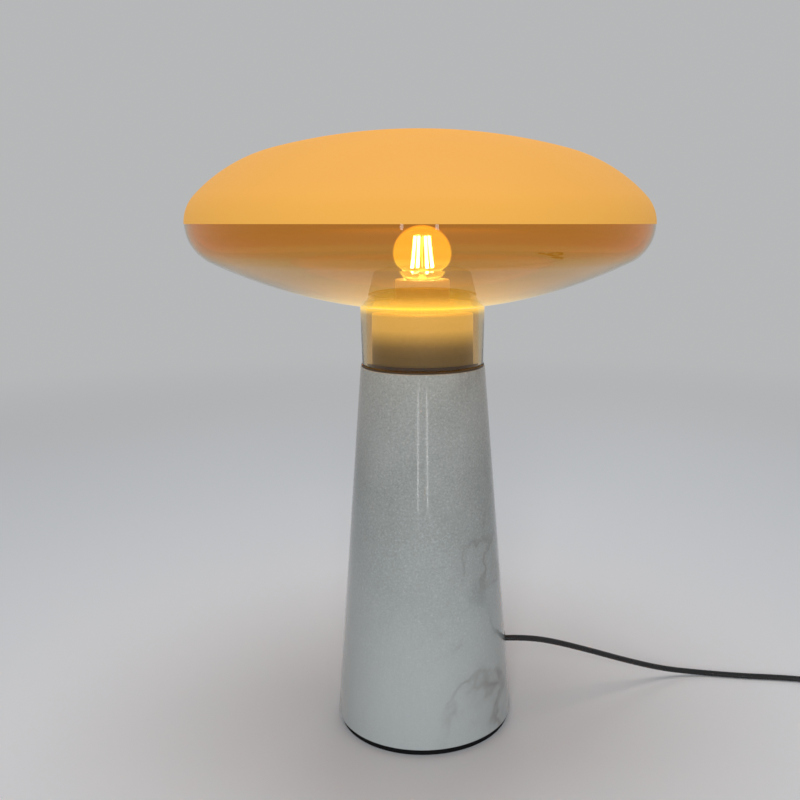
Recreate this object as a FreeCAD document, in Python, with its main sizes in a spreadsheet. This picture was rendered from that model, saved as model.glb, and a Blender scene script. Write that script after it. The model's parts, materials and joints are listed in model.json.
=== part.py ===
import FreeCAD, Part
import math
import os
import re

import Sketcher
from FreeCAD import Placement, Rotation, Vector

# Mushroom table lamp: a marble column carries a lampholder in a metal sleeve, and a blown glass
# shade with a straight neck stands loose on a seat ring on top of the column.
# Millimetres, +Z up, origin on the floor under the middle of the foot.

SIZES = {
    # foot
    "pad_radius": 72.0,
    "pad_thickness": 5.0,
    "pad_edge": 1.0,
    "plate_recess_radius": 56.0,
    "plate_thickness": 6.0,
    "plate_side_clearance": 0.4,
    "screw_circle_radius": 44.0,
    "screw_radius": 2.0,
    "screw_head_radius": 4.0,
    "screw_head_depth": 2.2,
    "screw_length": 16.0,
    "screw_clearance": 0.3,
    "anchor_radius": 4.0,
    "anchor_length": 14.0,
    # marble column
    "marble_foot_radius": 74.2,
    "marble_top_radius": 50.3,
    "marble_height": 299.0,
    "marble_foot_round": 1.6,
    "marble_top_round": 1.2,
    "cavity_radius": 32.0,
    "cavity_height": 120.0,
    # threaded rod with its nuts and washers
    "rod_radius": 5.0,
    "rod_bore_radius": 3.5,
    "rod_hole_clearance": 0.6,
    "rod_below_nut": 6.0,
    "rod_above_nut": 8.0,
    "washer_radius": 14.0,
    "washer_thickness": 2.0,
    "nut_across_corners": 18.5,
    "nut_thickness": 5.0,
    "thread_clearance": 0.1,
    # seat ring under the glass neck
    "seat_radius": 49.6,
    "seat_thickness": 1.4,
    "seat_inner_radius": 41.0,
    "seat_lip_height": 3.0,
    "seat_lip_thickness": 1.6,
    "seat_lip_clearance": 0.5,
    # blown glass shade
    "shade_radius": 180.0,
    "shade_upper_rise": 70.0,
    "shade_lower_drop": 66.5,
    "shade_lower_rim_radius": 32.0,
    "dome_rim_share": 1.10,
    "dome_shoulder_share": 1.044,
    "dome_crown_share": 0.95,
    "shade_wall": 2.6,
    "equator_height": 110.6,
    "neck_top_radius": 49.8,
    "neck_foot_radius": 48.9,
    "neck_inner_radius": 44.9,
    "neck_lip_round": 1.2,
    # sleeve round the lampholder
    "sleeve_radius": 40.4,
    "sleeve_wall": 1.2,
    "sleeve_height": 45.0,
    "sleeve_edge_round": 2.0,
    # lampholder
    "holder_radius": 21.8,
    "holder_wall": 2.2,
    "holder_height": 61.8,
    "holder_base_height": 20.8,
    "holder_spigot_height": 4.0,
    "holder_spigot_thickness": 0.6,
    "holder_joint_clearance": 0.2,
    "holder_mouth_radius": 15.2,
    "holder_mouth_thickness": 2.2,
    "holder_ring_radius": 27.0,
    "holder_ring_height": 5.0,
    "holder_shoulder_radius": 25.0,
    "holder_shoulder_height": 4.2,
    "ring_notch_count": 16,
    "ring_notch_radius": 1.2,
    "block_height": 12.0,
    "block_ledge_height": 12.8,
    "block_rim_height": 3.0,
    "block_rim_inner_radius": 13.4,
    "terminal_offset": 9.0,
    "terminal_hole_radius": 1.7,
    "terminal_screw_radius": 1.5,
    "terminal_head_radius": 2.6,
    "terminal_head_height": 1.6,
    "terminal_screw_length": 7.0,
    "shell_radius": 13.6,
    "shell_wall": 0.35,
    "shell_height": 27.0,
    "shell_flange": 1.6,
    "tongue_thickness": 0.5,
    "tongue_width": 5.0,
    # bulb
    "bulb_radius": 23.3,
    "bulb_neck_radius": 12.4,
    "bulb_wall": 0.8,
    "bulb_length": 78.0,
    "bulb_contact_gap": 0.3,
    "cap_radius": 12.7,
    "cap_wall": 0.3,
    "cap_height": 24.0,
    "cap_collar_height": 5.0,
    "cap_collar_clearance": 0.2,
    "insulator_height": 3.8,
    "tip_radius": 4.6,
    "tip_height": 1.7,
    "thread_pitch": 3.62,
    "thread_depth": 0.5,
    "thread_turns": 4,
    "stem_radius": 3.2,
    "stem_height": 15.0,
    "filament_count": 4,
    "filament_radius": 0.9,
    "filament_length": 29.0,
    "filament_top_circle": 6.0,
    "filament_foot_circle": 9.0,
    "support_radius": 0.4,
    # mains cord and its pieces
    "cord_radius": 2.5,
    "cord_exit_height": 65.0,
    "bushing_hole_radius": 5.0,
    "bushing_clearance": 0.2,
    "bushing_flange_radius": 6.3,
    "bushing_flange_thickness": 1.4,
    "bushing_length": 16.0,
    "bushing_seat_depth": 1.5,
    "cord_stop_radius": 8.0,
    "cord_stop_length": 9.0,
    "lead_bend_radius": 21.0,
    "lead_top_depth": 4.0,
    "wire_radius": 0.8,
    "wire_spacing": 2.4,
    "wire_plain_length": 4.5,
    "coil_middle_radius": 30.0,
    "coil_turns": 7.0,
    "coil_pitch": 5.6,
    "coil_tail_length": 22.0,
    "coil_sides": 8,
    "tie_thickness": 0.8,
    "tie_width": 7.0,
    "tie_clearance": 0.3,
    # in-line switch
    "switch_length": 62.0,
    "switch_width": 25.0,
    "switch_height": 15.6,
    "switch_corner_radius": 7.0,
    "switch_wall": 2.0,
    "switch_edge_round": 2.4,
    "cord_entry_depth": 3.0,
    "rocker_length": 17.0,
    "rocker_width": 12.0,
    "rocker_rise": 2.6,
    "rocker_gap": 0.5,
    "rocker_tilt": 9.0,
    "rocker_pin_radius": 1.1,
    "rocker_pin_length": 17.0,
    "rocker_pin_depth": 4.6,
    "cheek_thickness": 2.2,
    "cheek_width": 6.0,
    "switch_screw_radius": 1.3,
    "switch_screw_head_radius": 2.6,
    "switch_screw_spacing": 44.0,
    # plug
    "plug_length": 34.0,
    "plug_face_width": 26.0,
    "plug_neck_width": 15.0,
    "plug_neck_height": 12.0,
    "plug_relief_length": 16.0,
    "plug_relief_radius": 4.2,
    "pin_spacing": 12.7,
    "pin_width": 6.3,
    "pin_thickness": 1.5,
    "pin_length": 17.0,
}

# Levels above the floor, each worked out from the sizes under it.
RECESS_TOP = "(pad_thickness + plate_thickness)"
SHELF = "(pad_thickness + cavity_height)"
MARBLE_TOP = "(pad_thickness + marble_height)"
GLASS_FOOT = f"({MARBLE_TOP} + seat_thickness)"
EQUATOR = f"({GLASS_FOOT} + equator_height)"
LOWER_NUT_FOOT = f"({SHELF} - washer_thickness - nut_thickness)"
UPPER_NUT_FOOT = f"({MARBLE_TOP} + washer_thickness)"
HOLDER_FOOT = f"({UPPER_NUT_FOOT} + nut_thickness)"
HOLDER_RIM = f"({HOLDER_FOOT} + holder_height)"
HOLDER_SPLIT = f"({HOLDER_FOOT} + holder_base_height)"
SLEEVE_TOP = f"({MARBLE_TOP} + sleeve_height)"
BLOCK_FOOT = f"({HOLDER_FOOT} + block_ledge_height)"
BLOCK_TOP = f"({BLOCK_FOOT} + block_height)"
SHELL_FOOT = f"({BLOCK_TOP} + block_rim_height)"
TONGUE_TOP = f"({BLOCK_TOP} + tongue_thickness + tongue_thickness + 0.2)"
BULB_TIP = f"({TONGUE_TOP} + bulb_contact_gap)"
BULB_TOP = f"({BULB_TIP} + bulb_length)"
BULB_CENTRE = f"({BULB_TOP} - bulb_radius)"
INSULATOR_FOOT = f"({BULB_TIP} + tip_height)"
CAP_FOOT = f"({INSULATOR_FOOT} + insulator_height)"
CAP_TOP = f"({CAP_FOOT} + cap_height)"
GLASS_NECK_FOOT = f"({CAP_TOP} - cap_collar_height + cap_wall)"
SPOT_FACE = (
    "(marble_foot_radius - (cord_exit_height - pad_thickness)"
    " * (marble_foot_radius - marble_top_radius) / marble_height - bushing_seat_depth)"
)
BUSHING_FACE = f"({SPOT_FACE} + bushing_flange_thickness)"

# The free cord's route, chosen by hand: out of the bushing, down to the floor and round to the
# switch, which lies behind the right-hand side of the lamp with the coil and the plug after it.
ROUTE_TO_SWITCH = [
    (86.5, 0.0, 65.0),
    (110.0, 9.0, 57.5),
    (145.0, 22.0, 42.0),
    (186.0, 36.5, 23.0),
    (223.0, 47.5, 8.6),
    (257.0, 51.0, 2.5),
    (293.0, 43.5, 2.5),
    (329.0, 39.0, 2.5),
    (354.5, 34.0, 2.5),
    (373.0, 16.5, 7.8),
]
SWITCH_ENTRY = (373.0, -6.0)
COIL_ENTRY_Y = -107.0
TAIL_RUNS = 3

doc = FreeCAD.newDocument("mushroom_lamp")
sheet = doc.addObject("Spreadsheet::Sheet", "Size")
for row, (alias, number) in enumerate(SIZES.items(), 1):
    sheet.set(f"A{row}", alias)
    sheet.set(f"B{row}", str(number))
    sheet.setAlias(f"B{row}", alias)
doc.recompute()

parts = []


def cell(text):
    """The expression, with each size's name pointing at its cell in the sheet."""
    return re.sub(r"[a-z_]+", lambda w: f"Size.{w[0]}" if w[0] in SIZES else w[0], str(text))


def size(text):
    """The number that an expression of sizes comes to."""
    return float(sheet.evalExpression(cell(text)))


def keep(node, label):
    """Names a finished sub-part and lists it for the export."""
    node.Label = label
    parts.append(node)
    return node


# ---- sketches and bodies ----


def new_body(label, kept=True):
    body = doc.addObject("PartDesign::Body", label)
    return keep(body, label) if kept else body


def sketch_on(body, name, role, offset="0"):
    plane = next(f for f in body.Origin.OriginFeatures if f.Role == role)
    sketch = body.newObject("Sketcher::SketchObject", name)
    sketch.AttachmentSupport = [(plane, "")]
    sketch.MapMode = "FlatFace"
    sketch.setExpression(".AttachmentOffset.Base.z", cell(offset))
    return sketch


def bind(sketch, kind, where, text):
    """Adds one dimension to a sketch and ties it to an expression of sizes."""
    index = sketch.addConstraint(Sketcher.Constraint(kind, *where, size(text)))
    sketch.setExpression(f"Constraints[{index}]", cell(text))


def pin_point(sketch, geometry, end, x, y):
    """Fixes a point of a sketch at two expressions. A plain "0" ties it to the axis."""
    for text, kind, axis in ((x, "DistanceX", -2), (y, "DistanceY", -1)):
        if text == "0":
            sketch.addConstraint(Sketcher.Constraint("PointOnObject", geometry, end, axis))
        else:
            bind(sketch, kind, (-1, 1, geometry, end), text)


def arc_between(start, end, radius, turn):
    """An arc of a radius from start to end, with its centre on the left or right of the way."""
    chord = end - start
    left = Vector(-chord.y, chord.x, 0).normalize() * (1 if turn == "left" else -1)
    centre = (start + end) * 0.5 + left * math.sqrt(radius**2 - (chord.Length / 2) ** 2)
    angles = [math.atan2(p.y - centre.y, p.x - centre.x) for p in (start, end)]
    if turn == "right":
        angles.reverse()
    return Part.ArcOfCircle(Part.Circle(centre, Vector(0, 0, 1), radius), *angles)


def outline(sketch, corners):
    """A closed outline: each corner is (x, y), or (x, y, radius, turn) where an arc follows it."""
    points = [Vector(size(c[0]), size(c[1]), 0) for c in corners]
    firsts = []
    lasts = []
    for index, corner in enumerate(corners):
        start = points[index]
        end = points[(index + 1) % len(corners)]
        first, last = 1, 2
        if len(corner) == 2:
            sketch.addGeometry(Part.LineSegment(start, end), False)
        else:
            sketch.addGeometry(arc_between(start, end, size(corner[2]), corner[3]), False)
            if corner[3] == "right":
                first, last = 2, 1
        firsts.append(first)
        lasts.append(last)
    for index, corner in enumerate(corners):
        after = (index + 1) % len(corners)
        sketch.addConstraint(
            Sketcher.Constraint("Coincident", index, lasts[index], after, firsts[after])
        )
        pin_point(sketch, index, firsts[index], corner[0], corner[1])
        if len(corner) == 4:
            bind(sketch, "Radius", (index,), corner[2])


def circle_in(sketch, x, y, radius):
    index = sketch.addGeometry(
        Part.Circle(Vector(size(x), size(y), 0), Vector(0, 0, 1), size(radius)), False
    )
    pin_point(sketch, index, 3, x, y)
    bind(sketch, "Radius", (index,), radius)


def revolve(body, sketch, axis="V_Axis"):
    turned = body.newObject("PartDesign::Revolution", sketch.Name + "_turned")
    turned.Profile = sketch
    turned.ReferenceAxis = (sketch, [axis])
    turned.Angle = 360
    doc.recompute()
    return turned


def turned_part(label, corners, kept=True):
    """A body turned about the lamp's axis from corners of (radius, height)."""
    body = new_body(label, kept)
    sketch = sketch_on(body, label + "_profile", "XZ_Plane")
    outline(sketch, corners)
    revolve(body, sketch)
    return body


def pad(body, sketch, length, symmetric=False):
    feature = body.newObject("PartDesign::Pad", sketch.Name + "_pad")
    feature.Profile = sketch
    if symmetric:
        feature.SideType = "Symmetric"
    feature.setExpression("Length", cell(length))
    doc.recompute()
    return feature


def pocket(body, sketch, length, upwards=True):
    """Cuts a sketch into its body, and stops if the cut takes nothing away."""
    before = body.Shape.Volume
    feature = body.newObject("PartDesign::Pocket", sketch.Name + "_pocket")
    feature.Profile = sketch
    feature.Reversed = upwards
    feature.setExpression("Length", cell(length))
    doc.recompute()
    if body.Shape.Volume > before - 1e-3:
        raise ValueError(f"{sketch.Name} cuts nothing")
    return feature


def polar(body, feature, count):
    """Repeats a feature about the lamp's axis."""
    pattern = body.newObject("PartDesign::PolarPattern", feature.Name + "_pattern")
    pattern.Originals = [feature]
    axis = next(f for f in body.Origin.OriginFeatures if f.Role == "Z_Axis")
    pattern.Axis = (axis, [""])
    pattern.Angle = 360
    pattern.setExpression("Occurrences", cell(count))
    body.Tip = pattern
    doc.recompute()
    return pattern


def round_rings(body, rings):
    """Rounds circular edges of a turned body: each ring is (radius, height, size of the round)."""
    for ring_radius, height, fillet_radius in rings:
        base = body.Tip
        names = []
        for index, edge in enumerate(body.Shape.Edges, 1):
            curve = None if edge.Degenerated else edge.Curve
            if not isinstance(curve, Part.Circle) or abs(curve.Axis.z) < 0.999:
                continue
            level = abs(curve.Center.z - size(height)) < 1e-4
            if level and abs(curve.Radius - size(ring_radius)) < 1e-4:
                names.append(f"Edge{index}")
        feature = body.newObject("PartDesign::Fillet", body.Label + "_round")
        feature.Base = (base, names)
        feature.setExpression("Radius", cell(fillet_radius))
        body.Tip = feature
        doc.recompute()


# ---- primitives ----


def at(node, x="0", y="0", z="0", rotation=None):
    """Puts a node at three expressions, turned as a whole if a rotation is given."""
    if rotation is not None:
        node.Placement = Placement(Vector(), rotation)
    for name, text in zip("xyz", (x, y, z)):
        node.setExpression(f".Placement.Base.{name}", cell(text))
    return node


def cylinder(name, radius, height, x="0", y="0", z="0", rotation=None):
    node = doc.addObject("Part::Cylinder", name)
    node.setExpression("Radius", cell(radius))
    node.setExpression("Height", cell(height))
    return at(node, x, y, z, rotation)


def cone(name, foot_radius, top_radius, height, x="0", y="0", z="0"):
    node = doc.addObject("Part::Cone", name)
    node.setExpression("Radius1", cell(foot_radius))
    node.setExpression("Radius2", cell(top_radius))
    node.setExpression("Height", cell(height))
    return at(node, x, y, z)


def box(name, length, width, height, x="0", y="0", z="0"):
    """A box centred on x and y, standing on z."""
    node = doc.addObject("Part::Box", name)
    node.setExpression("Length", cell(length))
    node.setExpression("Width", cell(width))
    node.setExpression("Height", cell(height))
    return at(node, f"{x} - ({length}) / 2", f"{y} - ({width}) / 2", z)


def cut(name, base, tool):
    node = doc.addObject("Part::Cut", name)
    node.Base = base
    node.Tool = tool
    return node


def fuse(name, shapes):
    node = doc.addObject("Part::MultiFuse", name)
    node.Shapes = shapes
    return node


def group(name, shapes):
    node = doc.addObject("Part::Compound", name)
    node.Links = shapes
    return node


def around(count, radius, start_degrees=0.0):
    """Places on a circle about the lamp's axis, as pairs of expressions."""
    for index in range(count):
        angle = math.radians(start_degrees + 360.0 * index / count)
        yield f"{radius} * {math.cos(angle):.12f}", f"{radius} * {math.sin(angle):.12f}"


# ---- foot ----


def make_foot():
    turned_part(
        "base_pad",
        [
            ("0", "0"),
            ("pad_radius - pad_edge", "0"),
            ("pad_radius", "pad_edge"),
            ("pad_radius", "pad_thickness"),
            ("0", "pad_thickness"),
        ],
    )
    places = list(around(3, "screw_circle_radius", 60.0))
    holes = []
    screws = []
    anchors = []
    for index, (x, y) in enumerate(places, 1):
        holes.append(
            fuse(
                f"plate_hole_{index}",
                [
                    cylinder(f"hole_shank_{index}", "screw_radius + screw_clearance",
                             "plate_thickness", x, y, "pad_thickness"),
                    cone(f"hole_sink_{index}", "screw_head_radius + screw_clearance",
                         "screw_radius + screw_clearance", "screw_head_depth", x, y,
                         "pad_thickness"),
                ],
            )
        )
        screws.append(
            fuse(
                f"screw_{index}",
                [
                    cylinder(f"screw_shank_{index}", "screw_radius", "screw_length", x, y,
                             "pad_thickness"),
                    cone(f"screw_head_{index}", "screw_head_radius", "screw_radius",
                         "screw_head_depth", x, y, "pad_thickness"),
                ],
            )
        )
        anchors.append(
            cut(
                f"anchor_{index}",
                cylinder(f"anchor_body_{index}", "anchor_radius", "anchor_length", x, y,
                         RECESS_TOP),
                cylinder(f"anchor_bore_{index}", "screw_radius + thread_clearance",
                         "anchor_length", x, y, RECESS_TOP),
            )
        )
    disc = cylinder("plate_disc", "plate_recess_radius - plate_side_clearance",
                    "plate_thickness", z="pad_thickness")
    keep(cut("foot_plate", disc, group("plate_holes", holes)), "foot_plate")
    keep(group("foot_screws", screws), "foot_screws")
    keep(group("screw_anchors", anchors), "screw_anchors")


# ---- marble column ----


def make_column():
    body = turned_part(
        "marble_column",
        [
            ("plate_recess_radius", "pad_thickness"),
            ("marble_foot_radius", "pad_thickness"),
            ("marble_top_radius", MARBLE_TOP),
            ("rod_radius + rod_hole_clearance", MARBLE_TOP),
            ("rod_radius + rod_hole_clearance", SHELF),
            ("cavity_radius", SHELF),
            ("cavity_radius", RECESS_TOP),
            ("plate_recess_radius", RECESS_TOP),
        ],
    )
    round_rings(
        body,
        [
            ("marble_foot_radius", "pad_thickness", "marble_foot_round"),
            ("marble_top_radius", MARBLE_TOP, "marble_top_round"),
        ],
    )
    cord_hole = sketch_on(body, "cord_hole", "YZ_Plane")
    circle_in(cord_hole, "0", "cord_exit_height", "bushing_hole_radius")
    pocket(body, cord_hole, "marble_foot_radius + 1")
    spot_face = sketch_on(body, "cord_spot_face", "YZ_Plane", SPOT_FACE)
    circle_in(spot_face, "0", "cord_exit_height", "bushing_flange_radius + bushing_clearance")
    pocket(body, spot_face, "marble_foot_radius")
    anchor_hole = sketch_on(body, "anchor_hole", "XY_Plane", RECESS_TOP)
    circle_in(anchor_hole, "screw_circle_radius * 0.5",
              "screw_circle_radius * sqrt(0.75)", "anchor_radius")
    polar(body, pocket(body, anchor_hole, "anchor_length + 1"), "3")


# ---- threaded rod, nuts and washers ----


def ring(name, inner, outer, height, z):
    return cut(
        name,
        cylinder(name + "_outside", outer, height, z=z),
        cylinder(name + "_inside", inner, height, z=z),
    )


def hex_nut(name, z):
    blank = doc.addObject("Part::Prism", name + "_blank")
    blank.Polygon = 6
    blank.setExpression("Circumradius", cell("nut_across_corners / 2"))
    blank.setExpression("Height", cell("nut_thickness"))
    at(blank, z=z)
    bore = cylinder(name + "_bore", "rod_radius + thread_clearance", "nut_thickness", z=z)
    return cut(name, blank, bore)


def make_rod():
    foot = f"({LOWER_NUT_FOOT} - rod_below_nut)"
    top = f"({HOLDER_FOOT} + rod_above_nut)"
    chamfer = "(rod_radius - rod_bore_radius) / 3"
    turned_part(
        "threaded_rod",
        [
            ("rod_bore_radius", foot),
            (f"rod_radius - {chamfer}", foot),
            ("rod_radius", f"{foot} + {chamfer}"),
            ("rod_radius", f"{top} - {chamfer}"),
            (f"rod_radius - {chamfer}", top),
            ("rod_bore_radius", top),
        ],
    )
    washer_bore = "rod_radius + thread_clearance * 3"
    washers = [
        ring("lower_washer", washer_bore, "washer_radius", "washer_thickness",
             f"{SHELF} - washer_thickness"),
        ring("upper_washer", washer_bore, "washer_radius", "washer_thickness", MARBLE_TOP),
    ]
    keep(group("rod_washers", washers), "rod_washers")
    nuts = [hex_nut("lower_nut", LOWER_NUT_FOOT), hex_nut("upper_nut", UPPER_NUT_FOOT)]
    keep(group("rod_nuts", nuts), "rod_nuts")


# ---- glass shade and its seat ----


def make_seat():
    lip_outer = "(neck_inner_radius - seat_lip_clearance)"
    turned_part(
        "neck_seat_ring",
        [
            ("seat_inner_radius", MARBLE_TOP),
            ("seat_radius", MARBLE_TOP),
            ("seat_radius", GLASS_FOOT),
            (lip_outer, GLASS_FOOT),
            (lip_outer, f"{GLASS_FOOT} + seat_lip_height"),
            (f"{lip_outer} - seat_lip_thickness", f"{GLASS_FOOT} + seat_lip_height"),
            (f"{lip_outer} - seat_lip_thickness", GLASS_FOOT),
            ("seat_inner_radius", GLASS_FOOT),
        ],
    )


def crown_radius(reach, rise, rim):
    """The radius of the broad arc of an oval whose narrow arc has the radius rim."""
    return f"(({reach})^2 + ({rise})^2 - 2 * ({reach}) * ({rim})) / (2 * (({rise}) - ({rim})))"


def oval_joint(reach, rise, rim):
    """Where the narrow arc of an oval meets its broad arc, from the oval's middle."""
    broad = crown_radius(reach, rise, rim)
    share = f"(({broad}) / (({broad}) - ({rim})))"
    x = f"(({reach}) - ({rim})) * {share}"
    y = f"sqrt(({rim})^2 - (({x}) - (({reach}) - ({rim})))^2)"
    return x, y


def broad_arc_height(reach, rise, rim, radius):
    """How far from the middle plane the broad arc of an oval lies at a radius from the axis."""
    broad = crown_radius(reach, rise, rim)
    return f"(sqrt(({broad})^2 - ({radius})^2) - (({broad}) - ({rise})))"


# The dome is an oval of three arcs that run into each other: the rim's, the shoulder's and the
# crown's. Their radii follow the curvature of an ellipse with the dome's radius and rise.
DOME_RIM = "(dome_rim_share * shade_upper_rise^2 / shade_radius)"
DOME_CROWN = "(dome_crown_share * shade_radius^2 / shade_upper_rise)"
DOME_SHOULDER = f"(dome_shoulder_share * sqrt({DOME_RIM} * {DOME_CROWN}))"
RIM_CENTRE = f"(shade_radius - {DOME_RIM})"
CROWN_DEPTH = f"({DOME_CROWN} - shade_upper_rise)"
RIM_TO_SHOULDER = f"({DOME_SHOULDER} - {DOME_RIM})"
CROWN_TO_SHOULDER = f"({DOME_CROWN} - {DOME_SHOULDER})"
RIM_TO_CROWN = f"sqrt({RIM_CENTRE}^2 + {CROWN_DEPTH}^2)"
ALONG = (
    f"(({RIM_TO_SHOULDER}^2 - {CROWN_TO_SHOULDER}^2 + {RIM_TO_CROWN}^2) / (2 * {RIM_TO_CROWN}))"
)
ASIDE = f"sqrt({RIM_TO_SHOULDER}^2 - {ALONG}^2)"
SHOULDER_X = (
    f"({RIM_CENTRE} - ({ALONG} * {RIM_CENTRE} + {ASIDE} * {CROWN_DEPTH}) / {RIM_TO_CROWN})"
)
SHOULDER_DEPTH = f"(({ALONG} * {CROWN_DEPTH} - {ASIDE} * {RIM_CENTRE}) / {RIM_TO_CROWN})"


def dome_joints(wall):
    """Where the dome's rim arc meets its shoulder, and its shoulder the crown, a wall further in."""
    shoulder = f"(({DOME_SHOULDER} - {wall}) / {RIM_TO_SHOULDER})"
    crown = f"(({DOME_CROWN} - {wall}) / {CROWN_TO_SHOULDER})"
    low = (
        f"({SHOULDER_X} + {shoulder} * ({RIM_CENTRE} - {SHOULDER_X}))",
        f"({EQUATOR} + ({shoulder} - 1) * {SHOULDER_DEPTH})",
    )
    high = (
        f"({crown} * {SHOULDER_X})",
        f"({EQUATOR} - {CROWN_DEPTH} + {crown} * ({CROWN_DEPTH} - {SHOULDER_DEPTH}))",
    )
    return low, high


def shade_side(wall, neck_radius_foot, neck_radius_top):
    """Half of the shade's section, from the neck's foot up and round to the crown."""
    reach = f"shade_radius - {wall}"
    drop = f"shade_lower_drop - {wall}"
    lower_rim = f"shade_lower_rim_radius - {wall}"
    crease = broad_arc_height(reach, drop, lower_rim, neck_radius_top)
    lower_x, lower_y = oval_joint(reach, drop, lower_rim)
    dome_low, dome_high = dome_joints(wall)
    return [
        (neck_radius_foot, GLASS_FOOT),
        (neck_radius_top, f"{EQUATOR} - {crease}", crown_radius(reach, drop, lower_rim), "left"),
        (lower_x, f"{EQUATOR} - {lower_y}", lower_rim, "left"),
        (reach, EQUATOR, f"{DOME_RIM} - {wall}", "left"),
        (*dome_low, f"{DOME_SHOULDER} - {wall}", "left"),
        (*dome_high, f"{DOME_CROWN} - {wall}", "left"),
        ("0", f"{EQUATOR} + shade_upper_rise - {wall}"),
    ]


def there_and_back(outside, inside):
    """Closes a wall's section: up its outer side and back down its inner side, where each arc
    follows the corner at its far end."""
    corners = list(outside[:-1]) + [outside[-1][:2]]
    for index in range(len(inside) - 1, -1, -1):
        x, y = inside[index][:2]
        before = inside[index - 1] if index else ()
        corners.append((x, y, before[2], "right") if len(before) == 4 else (x, y))
    return corners


def make_shade():
    """One blown piece of glass, in nodes that meet face to face: the coated upper half, and of
    the clear lower half the rim, the bowl and the neck."""
    outside = shade_side("0", "neck_foot_radius", "neck_top_radius")
    inside = shade_side("shade_wall", "neck_inner_radius", "neck_inner_radius")
    zones = {
        "glass_shade_upper": (3, 6),
        "glass_shade_rim": (2, 3),
        "glass_shade_lower": (1, 2),
        "glass_neck": (0, 1),
    }
    for name, (first, last) in zones.items():
        glass = turned_part(
            name, there_and_back(outside[first : last + 1], inside[first : last + 1])
        )
    round_rings(
        glass,
        [
            ("neck_foot_radius", GLASS_FOOT, "neck_lip_round"),
            ("neck_inner_radius", GLASS_FOOT, "neck_lip_round"),
        ],
    )


# ---- sleeve and lampholder ----


def make_sleeve():
    hole = "(holder_radius + holder_joint_clearance)"
    turned_part(
        "inner_sleeve",
        [
            ("sleeve_radius - sleeve_wall", MARBLE_TOP),
            ("sleeve_radius", MARBLE_TOP),
            ("sleeve_radius", f"{SLEEVE_TOP} - sleeve_edge_round", "sleeve_edge_round", "left"),
            ("sleeve_radius - sleeve_edge_round", SLEEVE_TOP),
            (hole, SLEEVE_TOP),
            (hole, f"{SLEEVE_TOP} - sleeve_wall"),
            ("sleeve_radius - sleeve_wall", f"{SLEEVE_TOP} - sleeve_wall"),
        ],
    )


def make_holder():
    inner = "(holder_radius - holder_wall)"
    shoulder_top = f"({SLEEVE_TOP} - sleeve_wall)"
    turned_part(
        "holder_shell",
        [
            (inner, HOLDER_SPLIT),
            ("holder_radius", HOLDER_SPLIT),
            ("holder_radius", f"{shoulder_top} - holder_shoulder_height"),
            ("holder_shoulder_radius", f"{shoulder_top} - holder_shoulder_height"),
            ("holder_shoulder_radius", shoulder_top),
            ("holder_radius", shoulder_top),
            ("holder_radius", f"{HOLDER_RIM} - holder_mouth_thickness / 2",
             "holder_mouth_thickness / 2", "left"),
            ("holder_radius - holder_mouth_thickness / 2", HOLDER_RIM),
            ("holder_mouth_radius", HOLDER_RIM),
            ("holder_mouth_radius", f"{HOLDER_RIM} - holder_mouth_thickness"),
            (inner, f"{HOLDER_RIM} - holder_mouth_thickness"),
        ],
    )
    spigot = f"({inner} - holder_joint_clearance)"
    bowl = f"({spigot} - holder_spigot_thickness)"
    ledge = f"({bowl} - holder_wall)"
    turned_part(
        "holder_base",
        [
            ("rod_radius + thread_clearance", HOLDER_FOOT),
            ("holder_radius * 0.7", HOLDER_FOOT, "holder_radius * 0.45", "left"),
            ("holder_radius", f"{HOLDER_FOOT} + holder_radius * 0.4"),
            ("holder_radius", HOLDER_SPLIT),
            (spigot, HOLDER_SPLIT),
            (spigot, f"{HOLDER_SPLIT} + holder_spigot_height"),
            (bowl, f"{HOLDER_SPLIT} + holder_spigot_height"),
            (bowl, BLOCK_FOOT),
            (ledge, BLOCK_FOOT),
            (ledge, f"{HOLDER_FOOT} + holder_radius * 0.4"),
            (f"{ledge} * 0.8", f"{HOLDER_FOOT} + holder_wall"),
            ("rod_radius + thread_clearance", f"{HOLDER_FOOT} + holder_wall"),
        ],
    )
    clamp = turned_part(
        "holder_ring",
        [
            (f"holder_radius + holder_joint_clearance", SLEEVE_TOP),
            ("holder_ring_radius", SLEEVE_TOP),
            ("holder_ring_radius", f"{SLEEVE_TOP} + holder_ring_height"),
            (f"holder_radius + holder_joint_clearance", f"{SLEEVE_TOP} + holder_ring_height"),
        ],
    )
    notch = sketch_on(clamp, "grip_notch", "XY_Plane", SLEEVE_TOP)
    circle_in(notch, "holder_ring_radius + ring_notch_radius / 3", "0", "ring_notch_radius")
    polar(clamp, pocket(clamp, notch, "holder_ring_height + 1"), "ring_notch_count")
    rim_outer = "(shell_radius + shell_flange + 2)"
    block = turned_part(
        "terminal_block",
        [
            ("0", BLOCK_FOOT),
            (f"{bowl} - holder_joint_clearance", BLOCK_FOOT),
            (f"{bowl} - holder_joint_clearance", BLOCK_TOP),
            (rim_outer, BLOCK_TOP),
            (rim_outer, SHELL_FOOT),
            ("block_rim_inner_radius", SHELL_FOOT),
            ("block_rim_inner_radius", BLOCK_TOP),
            ("0", BLOCK_TOP),
        ],
    )
    hole = sketch_on(block, "terminal_hole", "XY_Plane", BLOCK_FOOT)
    circle_in(hole, "terminal_offset", "0", "terminal_hole_radius")
    polar(block, pocket(block, hole, "block_height + 1"), "2")


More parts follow.
